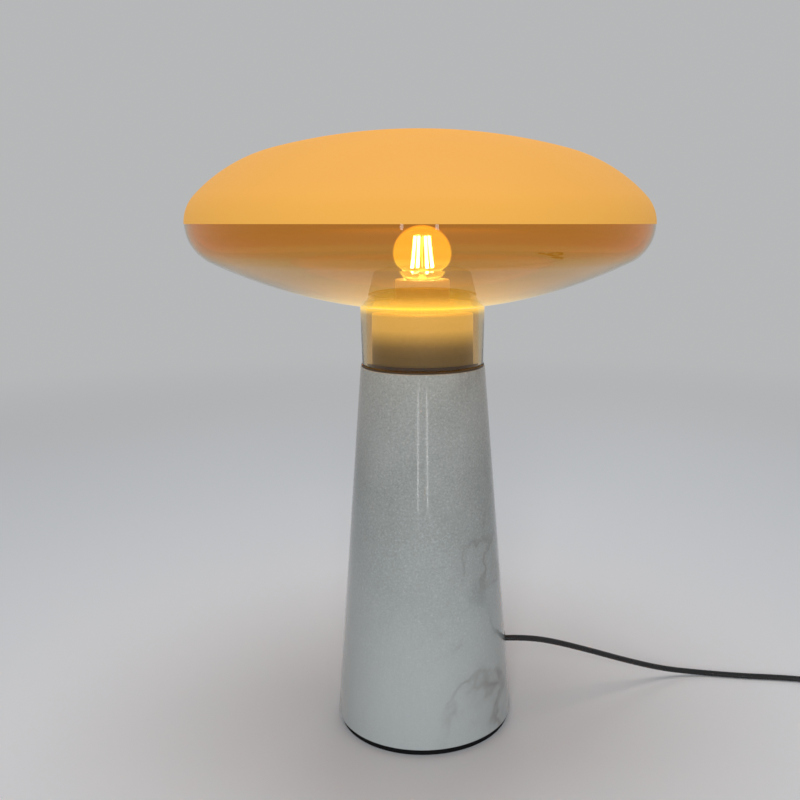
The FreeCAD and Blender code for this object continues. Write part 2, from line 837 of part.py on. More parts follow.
def threaded_sleeve(label, foot, height, radius, wall, collar_height, collar_radius,
                    flange="0"):
    """A thin sleeve with rolled ribs: straight flanks between crests and roots."""
    corners = [(f"{radius} + {flange}", foot)] if flange != "0" else []
    outside = []
    rib_foot = f"({foot} + {height} - {collar_height} - thread_pitch * thread_turns)"
    for index in range(2 * int(SIZES["thread_turns"]) + 1):
        crest = "thread_depth / 2" if index % 2 else "-thread_depth / 2"
        outside.append((f"({radius} + {crest})", f"{rib_foot} + thread_pitch * {index} / 2"))
    outside.append((collar_radius, f"{foot} + {height} - {collar_height} + wall_step"
                    .replace("wall_step", wall)))
    outside.append((collar_radius, f"{foot} + {height}"))
    outside.insert(0, (f"{radius} - thread_depth / 2", f"{foot} + {wall}"
                       if flange != "0" else foot))
    corners += ([(f"{radius} + {flange}", f"{foot} + {wall}")] if flange != "0" else [])
    corners += outside
    inside = [(f"{x} - {wall}", y) for x, y in reversed(outside)]
    if flange != "0":
        inside[-1] = (inside[-1][0], foot)
    turned_part(label, corners + inside)


def make_contacts():
    threaded_sleeve("screw_shell", SHELL_FOOT, "shell_height", "shell_radius + shell_wall",
                    "shell_wall", "thread_pitch", "shell_radius + shell_wall * 2",
                    "shell_flange")
    body = new_body("contact_tongue")
    sketch = sketch_on(body, "tongue_profile", "XZ_Plane")
    rise = f"({TONGUE_TOP} - tongue_thickness)"
    flat = f"({BLOCK_TOP} + tongue_thickness)"
    far_end = "(terminal_offset + terminal_head_radius)"
    outline(
        sketch,
        [
            (far_end, BLOCK_TOP),
            (far_end, flat),
            ("tip_radius", flat),
            ("tip_radius / 3", TONGUE_TOP),
            ("-tip_radius / 3", TONGUE_TOP),
            ("-tip_radius", flat),
            ("-tip_radius", BLOCK_TOP),
            ("-tip_radius / 3", rise),
            ("tip_radius / 3", rise),
            ("tip_radius", BLOCK_TOP),
        ],
    )
    pad(body, sketch, "tongue_width", symmetric=True)
    hole = sketch_on(body, "tongue_hole", "XY_Plane", BLOCK_TOP)
    circle_in(hole, "terminal_offset", "0", "terminal_screw_radius + thread_clearance")
    pocket(body, hole, "tongue_thickness + 1")
    screws = []
    for side in ("-1", "1"):
        x = f"terminal_offset * {side}"
        screws.append(
            fuse(
                f"terminal_screw_{len(screws) + 1}",
                [
                    cylinder(f"terminal_shank_{len(screws) + 1}", "terminal_screw_radius",
                             "terminal_screw_length + terminal_head_height / 2", x, "0",
                             f"{flat} - terminal_screw_length"),
                    cylinder(f"terminal_head_{len(screws) + 1}", "terminal_head_radius",
                             "terminal_head_height", x, "0", flat),
                ],
            )
        )
    keep(group("terminal_screws", screws), "terminal_screws")


# ---- bulb ----


def make_bulb():
    joint = f"({BULB_CENTRE} - sqrt(bulb_radius^2 - bulb_neck_radius^2))"
    inner_radius = "(bulb_radius - bulb_wall)"
    inner_neck = "(bulb_neck_radius - bulb_wall)"
    inner_joint = f"({BULB_CENTRE} - sqrt({inner_radius}^2 - {inner_neck}^2))"
    turned_part(
        "bulb_globe",
        [
            ("bulb_neck_radius", GLASS_NECK_FOOT),
            ("bulb_neck_radius", joint, "bulb_radius", "left"),
            ("0", BULB_TOP),
            ("0", f"{BULB_TOP} - bulb_wall", inner_radius, "right"),
            (inner_neck, inner_joint),
            (inner_neck, GLASS_NECK_FOOT),
        ],
    )
    threaded_sleeve("bulb_cap", CAP_FOOT, "cap_height", "cap_radius", "cap_wall",
                    "cap_collar_height",
                    "bulb_neck_radius + cap_collar_clearance + cap_wall")
    turned_part(
        "bulb_insulator",
        [
            ("0", INSULATOR_FOOT),
            ("tip_radius", INSULATOR_FOOT),
            ("cap_radius - thread_depth / 2", CAP_FOOT),
            ("0", CAP_FOOT),
        ],
    )
    turned_part(
        "bulb_tip",
        [
            ("0", BULB_TIP),
            ("tip_radius * 0.7", BULB_TIP),
            ("tip_radius", INSULATOR_FOOT),
            ("0", INSULATOR_FOOT),
        ],
    )
    stem_foot = GLASS_NECK_FOOT
    stem_top = f"({stem_foot} + stem_height)"
    turned_part(
        "bulb_stem",
        [
            ("0", stem_foot),
            ("bulb_neck_radius - bulb_wall", stem_foot),
            ("bulb_neck_radius - bulb_wall", f"{stem_foot} + bulb_wall"),
            ("stem_radius", f"{stem_foot} + stem_height / 2"),
            ("stem_radius", f"{stem_top} - stem_radius", "stem_radius", "left"),
            ("0", stem_top),
        ],
    )
    count = int(SIZES["filament_count"])
    middle = size(BULB_CENTRE)
    half = size("filament_length / 2")
    feet = [Vector(size(x), size(y), middle - half)
            for x, y in around(count, "filament_foot_circle", 25.0)]
    tops = [Vector(size(x), size(y), middle + half)
            for x, y in around(count, "filament_top_circle", 25.0)]
    rods = []
    for foot, top in zip(feet, tops):
        way = top - foot
        rods.append(Part.makeCylinder(size("filament_radius"), way.Length, foot, way))
    add_shape("bulb_filaments", Part.Compound(rods))
    reach = size("support_radius + 0.3")
    wires = []
    hub = Vector(0, 0, size(stem_top) + size("support_radius"))
    crown = Vector(0, 0, middle + half + size("filament_radius"))
    for foot in feet:
        start = hub + (foot - hub).normalize() * size("stem_radius")
        wires.append(rod_between(start, foot - Vector(0, 0, reach), "support_radius"))
    mast = rod_between(hub - Vector(0, 0, size("support_radius")), crown, "support_radius")
    spokes = [rod_between(crown, top + Vector(0, 0, reach), "support_radius") for top in tops]
    crown_part = mast
    for spoke in spokes:
        crown_part = crown_part.fuse(spoke)
    add_shape("filament_supports", Part.Compound(wires + [crown_part]))


def rod_between(start, end, radius):
    way = end - start
    return Part.makeCylinder(size(radius), way.Length, start, way)


def add_shape(label, shape):
    node = doc.addObject("Part::Feature", label)
    node.Shape = shape
    return keep(node, label)


# ---- cord ----


def arc_from(start, tangent, end):
    """The arc that leaves start along tangent and ends at end."""
    chord = end - start
    along = chord.normalize() if chord.Length else chord
    chord = end - start
    side = tangent - along * tangent.dot(along)
    angle = tangent.getAngle(along)
    middle = (start + end) * 0.5 + side.normalize() * (chord.Length / 2 * math.tan(angle / 2))
    return Part.Arc(start, middle, end).toShape()


def rounded_route(points):
    """Straight runs joined by tangent arcs. Gives the edges and the arcs' radii."""
    edges = []
    radii = []
    start = points[0]
    for before, corner, after in zip(points, points[1:], points[2:]):
        into = corner - before
        out = after - corner
        turn = into.getAngle(out)
        radius = 0.45 * min(into.Length, out.Length) / math.tan(turn / 2)
        cutback = radius * math.tan(turn / 2)
        into.normalize()
        out.normalize()
        arc_start = corner - into * cutback
        arc_end = corner + out * cutback
        edges.append(Part.LineSegment(start, arc_start).toShape())
        edges.append(arc_from(arc_start, into, arc_end))
        radii.append(radius)
        start = arc_end
    edges.append(Part.LineSegment(start, points[-1]).toShape())
    return edges, radii


def many_sided(centre, direction, radius, sides):
    """A regular outline that has the same area as the circle of that radius."""
    across = direction.cross(Vector(0, 0, 1))
    if across.Length < 0.1:
        across = direction.cross(Vector(1, 0, 0))
    up = across.cross(direction)
    across.normalize()
    up.normalize()
    reach = radius * math.sqrt(2 * math.pi / (sides * math.sin(2 * math.pi / sides)))
    corners = []
    for index in range(sides):
        angle = 2 * math.pi * (index + 0.5) / sides
        corners.append(centre + across * (reach * math.cos(angle)) + up * (reach * math.sin(angle)))
    return Part.makePolygon(corners + corners[:1])


def tube(edges, radius, sides=0):
    """A tube along edges that follow each other, checked by its volume. It is round, or has
    that many flat sides."""
    path = Part.Wire(edges)
    first = edges[0]
    start = first.valueAt(first.FirstParameter)
    direction = first.tangentAt(first.FirstParameter)
    if sides:
        section = many_sided(start, direction, radius, sides)
    else:
        section = Part.Wire([Part.makeCircle(radius, start, direction)])
    solid = path.makePipeShell([section], True, False)
    whole = math.pi * radius**2 * path.Length
    if abs(solid.Volume - whole) > 0.01 * whole:
        raise ValueError(f"a tube of volume {solid.Volume:.0f} should have {whole:.0f}")
    return solid, path


def make_lead():
    """The cord inside the column, from the bushing's face up the hollow rod to the terminals."""
    exit_height = size("cord_exit_height")
    bend = size("lead_bend_radius")
    top = size(f"{HOLDER_FOOT} + rod_above_nut - lead_top_depth")
    corner = Vector(bend, 0, exit_height)
    rise = Vector(0, 0, exit_height + bend)
    edges = [
        Part.LineSegment(Vector(size(BUSHING_FACE), 0, exit_height), corner).toShape(),
        arc_from(corner, Vector(-1, 0, 0), rise),
        Part.LineSegment(rise, Vector(0, 0, top)).toShape(),
    ]
    add_shape("inner_lead", tube(edges, size("cord_radius"))[0])
    wires = []
    for side in (-1, 1):
        near = side * size("wire_spacing / 2")
        far = side * size("terminal_offset")
        turn_up = top + size("wire_plain_length")
        points = [
            Vector(near, 0, top),
            Vector(near, 0, turn_up),
            Vector(far, 0, turn_up + size("wire_radius * 3")),
            Vector(far, 0, size(f"{BLOCK_TOP} + tongue_thickness - terminal_screw_length")
                   - size("thread_clearance")),
        ]
        wires.append(tube(rounded_route(points)[0], size("wire_radius"))[0])
    add_shape("terminal_wires", Part.Compound(wires))


def side_part(label, corners):
    """A body turned about the cord's axis where it leaves the column: corners of (x, radius)."""
    body = new_body(label)
    sketch = sketch_on(body, label + "_profile", "XZ_Plane")
    outline(sketch, corners)
    revolve(body, sketch, "H_Axis")
    body.setExpression(".Placement.Base.z", cell("cord_exit_height"))
    return body


def make_bushing():
    bore = "(cord_radius + bushing_clearance)"
    shank = "(bushing_hole_radius - bushing_clearance)"
    tail = f"({SPOT_FACE} - bushing_length + bushing_flange_thickness)"
    lip = "(bushing_flange_thickness / 3)"
    side_part(
        "cord_bushing",
        [
            (tail, bore),
            (tail, shank),
            (SPOT_FACE, shank),
            (SPOT_FACE, "bushing_flange_radius"),
            (f"{BUSHING_FACE} - {lip}", "bushing_flange_radius", lip, "right"),
            (BUSHING_FACE, f"bushing_flange_radius - {lip}"),
            (BUSHING_FACE, bore),
        ],
    )
    stop_face = "(sqrt(cavity_radius^2 - cord_stop_radius^2) - bushing_clearance)"
    side_part(
        "cord_stop",
        [
            (f"{stop_face} - cord_stop_length", "cord_radius + thread_clearance"),
            (f"{stop_face} - cord_stop_length", "cord_stop_radius"),
            (stop_face, "cord_stop_radius"),
            (stop_face, "cord_radius + thread_clearance"),
        ],
    )


def coil_point(turn, lift):
    """A point of the coil after so many turns. It winds inwards on the lower layer and outwards
    on the upper one, and climbs while it turns round in the middle half turn."""
    turns = SIZES["coil_turns"]
    pitch = SIZES["coil_pitch"]
    band = pitch * turns / 4
    inner = SIZES["coil_middle_radius"] - band
    from_middle = turn - turns / 2
    half_climb = 0.25
    if abs(from_middle) < half_climb:
        out = half_climb / 2 + from_middle**2 / (2 * half_climb)
        share = (from_middle + half_climb) / (2 * half_climb)
        share = share * share * (3 - 2 * share)
    else:
        out = abs(from_middle)
        share = 0.0 if from_middle < 0 else 1.0
    radius = inner + pitch * out
    angle = math.pi + 2 * math.pi * turn
    centre = coil_centre()
    return Vector(
        centre.x + radius * math.cos(angle),
        centre.y + radius * math.sin(angle),
        lift + pitch * share,
    )


def coil_centre():
    outer = SIZES["coil_middle_radius"] + SIZES["coil_pitch"] * SIZES["coil_turns"] / 4
    straight = 2 * SIZES["cord_radius"]
    return Vector(SWITCH_ENTRY[0] + outer, COIL_ENTRY_Y - straight, 0)


def coil_tangent(turn, lift):
    step = 1e-4
    return (coil_point(turn + step, lift) - coil_point(turn - step, lift)).normalize()


def biarc(start, start_way, end, end_way):
    """Two arcs from start to end that keep both ways and join smoothly."""
    chord = end - start
    ways = start_way + end_way
    dot = chord.dot(ways)
    spread = 2 * (1 - start_way.dot(end_way))
    reach = (math.sqrt(dot**2 + spread * chord.dot(chord)) - dot) / spread
    joint = (start + start_way * reach + end - end_way * reach) * 0.5
    first = arc_from(start, start_way, joint)
    second = arc_from(end, end_way * -1, joint)
    return [first, second]


def least_gap(path, diameter, reach):
    """The least gap of a wound tube to itself, measured between points along its path."""
    count = int(path.Length / (diameter / 3))
    points = path.discretize(Number=count)
    step = path.Length / (count - 1)
    skip = int(reach / step)
    least = min(
        points[i].distanceToPoint(points[j])
        for i in range(count)
        for j in range(i + skip, count)
    )
    return least - diameter


def make_cord():
    radius = size("cord_radius")
    entry = Vector(SWITCH_ENTRY[0], SWITCH_ENTRY[1], size("switch_height / 2"))
    inside = Vector(0, -size("cord_entry_depth"), 0)
    exit_point = Vector(size(BUSHING_FACE), 0, size("cord_exit_height"))
    points = [exit_point] + [Vector(*p) for p in ROUTE_TO_SWITCH] + [entry + inside]
    edges, radii = rounded_route(points)
    cord, path = tube(edges, radius)
    add_shape("power_cord", cord)
    print("cord to the switch: length %.1f, radii" % path.Length, [round(r, 1) for r in radii])
    total = path.Length + size("switch_length - 2 * cord_entry_depth")

    lift = radius + size("tie_thickness + tie_clearance")
    tail_start = entry - Vector(0, size("switch_length"), 0) - inside
    coil_start = Vector(entry.x, COIL_ENTRY_Y, lift)
    points = [tail_start]
    for index in range(1, TAIL_RUNS):
        share = index / TAIL_RUNS
        level = tail_start.z if index == 1 else lift
        points.append(Vector(entry.x, tail_start.y + (coil_start.y - tail_start.y) * share, level))
    points.append(coil_start)
    edges, radii = rounded_route(points)
    cord, path = tube(edges, radius)
    add_shape("switch_tail", cord)
    print("switch to the coil: length %.1f, radii" % path.Length, [round(r, 1) for r in radii])
    total += path.Length

    turns = SIZES["coil_turns"]
    stops = [0.25 * k for k in range(int(turns * 4) + 1)]
    edges = [Part.LineSegment(coil_start, coil_point(0, lift)).toShape()]
    down = Vector(0, -1, 0)
    for a, b in zip(stops, stops[1:]):
        way_in = down if a == 0 else coil_tangent(a, lift)
        way_out = down if b == turns else coil_tangent(b, lift)
        edges += biarc(coil_point(a, lift), way_in, coil_point(b, lift), way_out)
    coil_end = coil_point(turns, lift)
    plug_face = coil_end + down * size("coil_tail_length")
    edges.append(Part.LineSegment(coil_end, plug_face).toShape())
    edges = Part.__sortEdges__(edges)
    cord, path = tube(edges, radius, int(size("coil_sides")))
    add_shape("cord_coil", cord)
    gap = least_gap(path, 2 * radius, 60.0)
    print("coil: length %.1f, least gap to itself %.2f" % (path.Length, gap))
    total += path.Length
    print("whole cord outside the lamp: %.1f" % total)
    return entry, plug_face


def make_tie():
    """A flat strap round all the turns, on the side of the coil away from the lamp."""
    clearance = size("tie_clearance")
    thickness = size("tie_thickness")
    radius = size("cord_radius")
    pitch = size("coil_pitch")
    band = pitch * size("coil_turns") / 2
    width = band + 2 * radius + 2 * clearance
    height = pitch + 2 * radius + 2 * clearance
    low = thickness
    centre = coil_centre()
    middle = centre.x + size("coil_middle_radius")
    start = Vector(middle - width / 2, centre.y - size("tie_width") / 2, low)
    hole = Part.makeBox(width, size("tie_width"), height, start)
    outer = Part.makeBox(
        width + 2 * thickness,
        size("tie_width"),
        height + 2 * thickness,
        start - Vector(thickness, 0, thickness),
    )
    corners = [e for e in outer.Edges if abs(e.tangentAt(0).y) > 0.99]
    outer = outer.makeFillet(thickness, corners)
    add_shape("cord_tie", outer.cut(hole))


# ---- in-line switch ----


def rounded_block(name, length, width, height, corner, z="0"):
    """A flat block with round corners, made as a body with a padded outline."""
    body = new_body(name, kept=False)
    sketch = sketch_on(body, name + "_outline", "XY_Plane", z)
    half_x = f"({length}) / 2"
    half_y = f"({width}) / 2"
    corners = []
    for side_x, side_y, flip in (("-", "-", 0), ("", "-", 1), ("", "", 0), ("-", "", 1)):
        along = (f"{side_x}({half_x} - ({corner}))", f"{side_y}({half_y})")
        across = (f"{side_x}({half_x})", f"{side_y}({half_y} - ({corner}))")
        first, second = (across, along) if not flip else (along, across)
        corners.append((*first, corner, "left"))
        corners.append(second)
    outline(sketch, corners)
    pad(body, sketch, height)
    return body


def make_switch(entry):
    """Two shells that hold the cord ends between them, with a rocker in the upper one.
    Built lengthwise along X about its middle, then laid along the cord."""
    half = "(switch_height / 2)"
    inner_length = "(switch_length - 2 * switch_wall)"
    inner_width = "(switch_width - 2 * switch_wall)"
    inner_corner = "(switch_corner_radius - switch_wall)"
    place = Placement(
        Vector(entry.x, entry.y - size("switch_length / 2"), 0), Rotation(Vector(0, 0, 1), -90)
    )
    turned = Rotation(Vector(0, 1, 0), 90)

    def cord_way(name):
        return cylinder(name, "cord_radius + thread_clearance", "switch_length + 2",
                        "-switch_length / 2 - 1", "0", half, turned)

    def posts(name, radius, z, height):
        return [
            cylinder(f"{name}_{index}", radius, height,
                     f"switch_screw_spacing / 2 * {side}", "0", z)
            for index, side in enumerate(("-1", "1"), 1)
        ]

    def block(name, length, width, height, corner, z):
        return rounded_block(name, length, width, height, corner, z)

    base = block("switch_base_block", "switch_length", "switch_width", half,
                 "switch_corner_radius", "0")
    base_hollow = block("switch_base_hollow", inner_length, inner_width, half,
                        inner_corner, "switch_wall")
    cover = block("switch_cover_block", "switch_length", "switch_width", half,
                  "switch_corner_radius", half)
    doc.recompute()
    top_edges = [
        (index, size("switch_edge_round"), size("switch_edge_round"))
        for index, edge in enumerate(cover.Shape.Edges, 1)
        if all(abs(v.Point.z - size("switch_height")) < 1e-4 for v in edge.Vertexes)
    ]
    rounded_cover = doc.addObject("Part::Fillet", "switch_cover_rounded")
    rounded_cover.Base = cover
    rounded_cover.Edges = top_edges
    cover_hollow = block("switch_cover_hollow", inner_length, inner_width,
                         f"{half} - switch_wall", inner_corner, half)
    opening = box("rocker_opening", "rocker_length + 2 * rocker_gap + 0.8",
                  "rocker_width + 2 * rocker_gap", "switch_wall * 2",
                  z="switch_height - switch_wall * 1.5")

    screw_bore = "switch_screw_radius + thread_clearance"
    base_posts = fuse("switch_base_posts",
                      posts("base_post", "switch_screw_head_radius + 1", "switch_wall / 2",
                            f"{half} - switch_wall / 2"))
    base_holes = posts("base_hole", screw_bore, "0", half)
    base_sinks = posts("base_sink", "switch_screw_head_radius + thread_clearance", "0",
                       "switch_wall + 0.4")
    base_open = cut("switch_base_open", base, base_hollow)
    base_solid = fuse("switch_base_solid", [base_open, base_posts])
    node = cut("switch_base", base_solid,
               fuse("base_cuts", [cord_way("base_cord_way"), *base_holes, *base_sinks]))
    keep(node, "switch_base").Placement = place

    cover_open = cut("switch_cover_open", rounded_cover, fuse("cover_cuts_inside",
                                                              [cover_hollow, opening]))
    pin_height = "(switch_height - rocker_pin_depth)"
    cheeks = [
        box(f"rocker_cheek_{index}", "cheek_width", "cheek_thickness",
            "rocker_pin_depth - switch_wall / 2 + rocker_pin_radius * 2",
            y=f"{side} * (rocker_width / 2 + rocker_gap + cheek_thickness / 2)",
            z=f"{pin_height} - rocker_pin_radius * 2")
        for index, side in enumerate(("-1", "1"), 1)
    ]
    cover_posts = posts("cover_post", "switch_screw_head_radius + 1", half,
                        f"{half} - switch_wall / 2")
    cover_holes = posts("cover_hole", screw_bore, half, f"{half} - switch_wall")
    pin_hole = cylinder("rocker_pin_hole", "rocker_pin_radius + 0.05",
                        "switch_width", "0", "switch_width / 2", pin_height,
                        Rotation(Vector(1, 0, 0), 90))
    pin_room = cut("pin_room", pin_hole, box("pin_room_limit", "switch_width", "rocker_width",
                                             "1", z="-10"))
    cover_solid = fuse("switch_cover_solid", [cover_open, *cheeks, *cover_posts])
    limit = box("pin_hole_limit", "cheek_width", "rocker_pin_length + 0.4",
                "rocker_pin_radius * 6", z=f"{pin_height} - rocker_pin_radius * 3")
    pin_bore = doc.addObject("Part::Common", "pin_bore")
    pin_bore.Base = pin_room
    pin_bore.Tool = limit
    node = cut("switch_cover", cover_solid,
               fuse("cover_cuts", [cord_way("cover_cord_way"), pin_bore, *cover_holes]))
    keep(node, "switch_cover").Placement = place

    rocker = new_body("rocker_block", kept=False)
    sketch = sketch_on(rocker, "rocker_profile", "XZ_Plane")
    crest = "(rocker_pin_depth + rocker_rise)"
    drop = "(rocker_length / 2 * tan(rocker_tilt * 1deg))"
    skirt = "(rocker_pin_radius + 0.8)"
    outline(
        sketch,
        [
            ("rocker_length / 2", f"{crest} - {drop} - rocker_rise"),
            ("rocker_length / 2", f"{crest} - {drop}"),
            ("0", f"{crest} - {drop} / 2"),
            ("-rocker_length / 2", f"{crest} - {drop}"),
            ("-rocker_length / 2", f"{crest} - {drop} - rocker_rise"),
            (f"-{skirt}", f"-{skirt}"),
            (skirt, f"-{skirt}"),
        ],
    )
    pad(rocker, sketch, "rocker_width", symmetric=True)
    pin = cylinder("rocker_pin", "rocker_pin_radius", "rocker_pin_length", "0",
                   "rocker_pin_length / 2", "0", Rotation(Vector(1, 0, 0), 90))
    node = keep(fuse("switch_rocker", [rocker, pin]), "switch_rocker")
    pivot = Placement(Vector(0, 0, size(pin_height)), Rotation(Vector(0, 1, 0), size("rocker_tilt")))
    node.Placement = place.multiply(pivot)

    screws = []
    for index, side in enumerate(("-1", "1"), 1):
        x = f"switch_screw_spacing / 2 * {side}"
        screws.append(
            fuse(
                f"switch_screw_{index}",
                [
                    cylinder(f"switch_screw_head_{index}", "switch_screw_head_radius",
                             "switch_wall", x, "0", "0.4"),
                    cylinder(f"switch_screw_shank_{index}", "switch_screw_radius",
                             f"switch_height - switch_wall * 2", x, "0", "0.4"),
                ],
            )
        )
    keep(group("switch_screws", screws), "switch_screws").Placement = place
    contacts = [
        box(f"switch_contact_{index}", "switch_wall", "rocker_width / 2", f"{half} - switch_wall",
            x=f"rocker_length / 2 * {side}", z="switch_wall")
        for index, side in enumerate(("-1", "1"), 1)
    ]
    keep(group("switch_contacts", contacts), "switch_contacts").Placement = place


# ---- plug ----


def make_plug(face):
    """A moulded flat two-pin plug, lying on its side along the cord. Built along X from the
    end of the cord, then laid behind the coil."""
    body = new_body("plug_body")
    sections = []
    # The plug is as thick as the cord's end lies high, so that it rests on the floor.
    thickness = "2 * (cord_radius + tie_thickness + tie_clearance + coil_pitch)"
    for index, (x, width, height) in enumerate(
        [
            ("plug_relief_length", "plug_neck_width", "plug_neck_height"),
            ("plug_relief_length + plug_length * 0.55", "plug_face_width", thickness),
            ("plug_relief_length + plug_length", "plug_face_width", thickness),
        ]
    ):
        sketch = sketch_on(body, f"plug_section_{index}", "YZ_Plane", x)
        corner = f"(({height}) * 0.3)"
        half_x = f"({width}) / 2"
        half_y = f"({height}) / 2"
        outline(
            sketch,
            [
                (f"-({half_x})", f"-({half_y} - {corner})", corner, "left"),
                (f"-({half_x} - {corner})", f"-({half_y})"),
                (f"{half_x} - {corner}", f"-({half_y})", corner, "left"),
                (half_x, f"-({half_y} - {corner})"),
                (half_x, f"{half_y} - {corner}", corner, "left"),
                (f"{half_x} - {corner}", half_y),
                (f"-({half_x} - {corner})", half_y, corner, "left"),
                (f"-({half_x})", f"{half_y} - {corner}"),
            ],
        )
        sections.append(sketch)
    loft = body.newObject("PartDesign::AdditiveLoft", "plug_loft")
    loft.Profile = sections[0]
    loft.Sections = sections[1:]
    loft.Ruled = True
    doc.recompute()
    relief = sketch_on(body, "plug_relief_profile", "XZ_Plane")
    outline(
        relief,
        [
            ("0", "0"),
            ("0", "plug_relief_radius * 0.8"),
            ("plug_relief_length", "plug_relief_radius * 1.25"),
            ("plug_relief_length + 2", "plug_relief_radius * 1.25"),
            ("plug_relief_length + 2", "0"),
        ],
    )
    revolve(body, relief, "H_Axis")
    body.Placement = Placement(face, Rotation(Vector(0, 0, 1), -90))
    front = "plug_relief_length + plug_length"
    pins = []
    for index, side in enumerate(("-1", "1"), 1):
        blade = box(f"plug_blade_{index}", "pin_length", "pin_thickness", "pin_width",
                    x=f"{front} + pin_length / 2", y=f"pin_spacing / 2 * {side}",
                    z="-pin_width / 2")
        rounded = doc.addObject("Part::Fillet", f"plug_blade_rounded_{index}")
        rounded.Base = blade
        doc.recompute()
        tip = size(f"{front} + pin_length")
        edges = [
            (number, size("pin_width / 4"), size("pin_width / 4"))
            for number, edge in enumerate(blade.Shape.Edges, 1)
            if abs(edge.tangentAt(0).y) > 0.99 and abs(edge.Vertexes[0].Point.x - tip) < 1e-4
        ]
        rounded.Edges = edges
        pins.append(rounded)
    node = keep(group("plug_pins", pins), "plug_pins")
    node.Placement = Placement(face, Rotation(Vector(0, 0, 1), -90))


make_foot()
make_column()
make_rod()
make_seat()
make_shade()
make_sleeve()
make_holder()
make_contacts()
make_bulb()
make_bushing()
make_lead()
switch_entry, plug_face = make_cord()
make_tie()
make_switch(switch_entry)
make_plug(plug_face)
doc.recompute()

# ---- checks and export ----

for thing in doc.Objects:
    if "Invalid" in thing.State or "Error" in thing.State:
        raise ValueError(f"{thing.Label} failed: {thing.State}")
for node in parts:
    if node.Shape.isNull() or not node.Shape.isValid():
        raise ValueError(f"{node.Label} has no valid shape")

os.makedirs("parts", exist_ok=True)
for node in parts:
    node.Shape.exportStep(f"parts/{node.Label}.step")
print(len(parts), "sub-parts")
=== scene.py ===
import json
import math

import bmesh
import bpy
from mathutils import Matrix, Vector


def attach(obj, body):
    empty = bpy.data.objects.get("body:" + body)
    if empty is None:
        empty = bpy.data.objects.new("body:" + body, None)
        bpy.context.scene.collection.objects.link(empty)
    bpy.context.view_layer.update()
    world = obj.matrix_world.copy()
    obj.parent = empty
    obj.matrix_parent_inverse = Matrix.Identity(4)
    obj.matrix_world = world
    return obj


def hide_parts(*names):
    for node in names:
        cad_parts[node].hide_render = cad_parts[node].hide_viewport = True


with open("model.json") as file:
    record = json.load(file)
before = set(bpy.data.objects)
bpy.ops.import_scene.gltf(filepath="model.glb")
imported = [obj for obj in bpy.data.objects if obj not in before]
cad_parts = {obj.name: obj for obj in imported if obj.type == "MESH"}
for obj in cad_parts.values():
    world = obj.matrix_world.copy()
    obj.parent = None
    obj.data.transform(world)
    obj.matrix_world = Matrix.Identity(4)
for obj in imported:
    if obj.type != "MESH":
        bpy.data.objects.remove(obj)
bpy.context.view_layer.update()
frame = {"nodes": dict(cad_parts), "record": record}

# The lamp in metres, on the same frame as the solids: +Z up, the cord leaves towards +X.
EQUATOR = 0.416  # height of the shade's widest line
SHADE_RADIUS = 0.180
DOME_RISE = 0.070  # from the widest line up to the top
BOWL_DROP = 0.0665  # from the widest line down to where the bowl would close
BOWL_RIM = 0.032  # radius of the bend just below the widest line
GLASS_FOOT = 0.3054
GLASS_WALL = 0.0009
NECK_BORE = 0.0449
NECK_FOOT = 0.0489
CREASE = 0.0498  # radius where the neck meets the bowl
COAT = 0.0002
COAT_GAP = 0.00005
PAD_TOP = 0.005
PAD_RADIUS = 0.072
MARBLE_TOP = 0.304
MARBLE_TOP_RADIUS = 0.0503
MARBLE_FOOT_RADIUS = 0.0742
MARBLE_BORE = 0.0056
SLEEVE_TOP = 0.349
SLEEVE_RADIUS = 0.0404
SLEEVE_WALL = 0.0012
SLEEVE_HOLE = 0.0220
BULB_MIDDLE = 0.3920
BULB_RADIUS = 0.0233
CORD_RADIUS = 0.0025
CORD_EXIT = (0.0693, 0.0, 0.065)

# ---------------------------------------------------------------- camera

TILT = 0.1939
TURN = 0.0305

eye = bpy.data.cameras.new("eye")
eye.lens = 40.5
eye.sensor_width = 36.0
eye.shift_x = -50 / 800  # the lens axis meets the picture 50 of its 800 pixels off the middle
camera = bpy.data.objects.new("eye", eye)
bpy.context.collection.objects.link(camera)
bpy.context.scene.camera = camera
camera.location = (0.0, -0.722, 0.4165)
level = math.cos(TILT)
look = Vector((math.sin(TURN) * level, math.cos(TURN) * level, -math.sin(TILT)))
camera.rotation_mode = "QUATERNION"
camera.rotation_quaternion = look.to_track_quat("-Z", "Y")

# ---------------------------------------------------------------- cord

ON_TABLE = 0.0026
SWITCH_X = 0.373
SWITCH_LINE = 0.0078  # height of the cord inside the switch
COIL_START_Y = -0.112
COIL_TURNS = 7
COIL_PITCH = 0.0056
COIL_MIDDLE = 0.030
COIL_LIFT = 0.0036
COIL_POINTS = 16

# From the hole in the stone down to the table, along it and through the switch to the coil.
ROUTE = [
    CORD_EXIT,
    (0.0865, 0.0, 0.065),
    (0.110, 0.009, 0.0575),
    (0.145, 0.022, 0.042),
    (0.186, 0.0365, 0.023),
    (0.223, 0.0475, 0.0086),
    (0.257, 0.051, ON_TABLE),
    (0.293, 0.0435, ON_TABLE),
    (0.329, 0.039, ON_TABLE),
    (0.3545, 0.034, ON_TABLE),
    *[(SWITCH_X, y, SWITCH_LINE) for y in (0.0165, -0.009, -0.038, -0.065, -0.079)],
    *[(SWITCH_X, y, COIL_LIFT) for y in (-0.093, -0.107)],
]


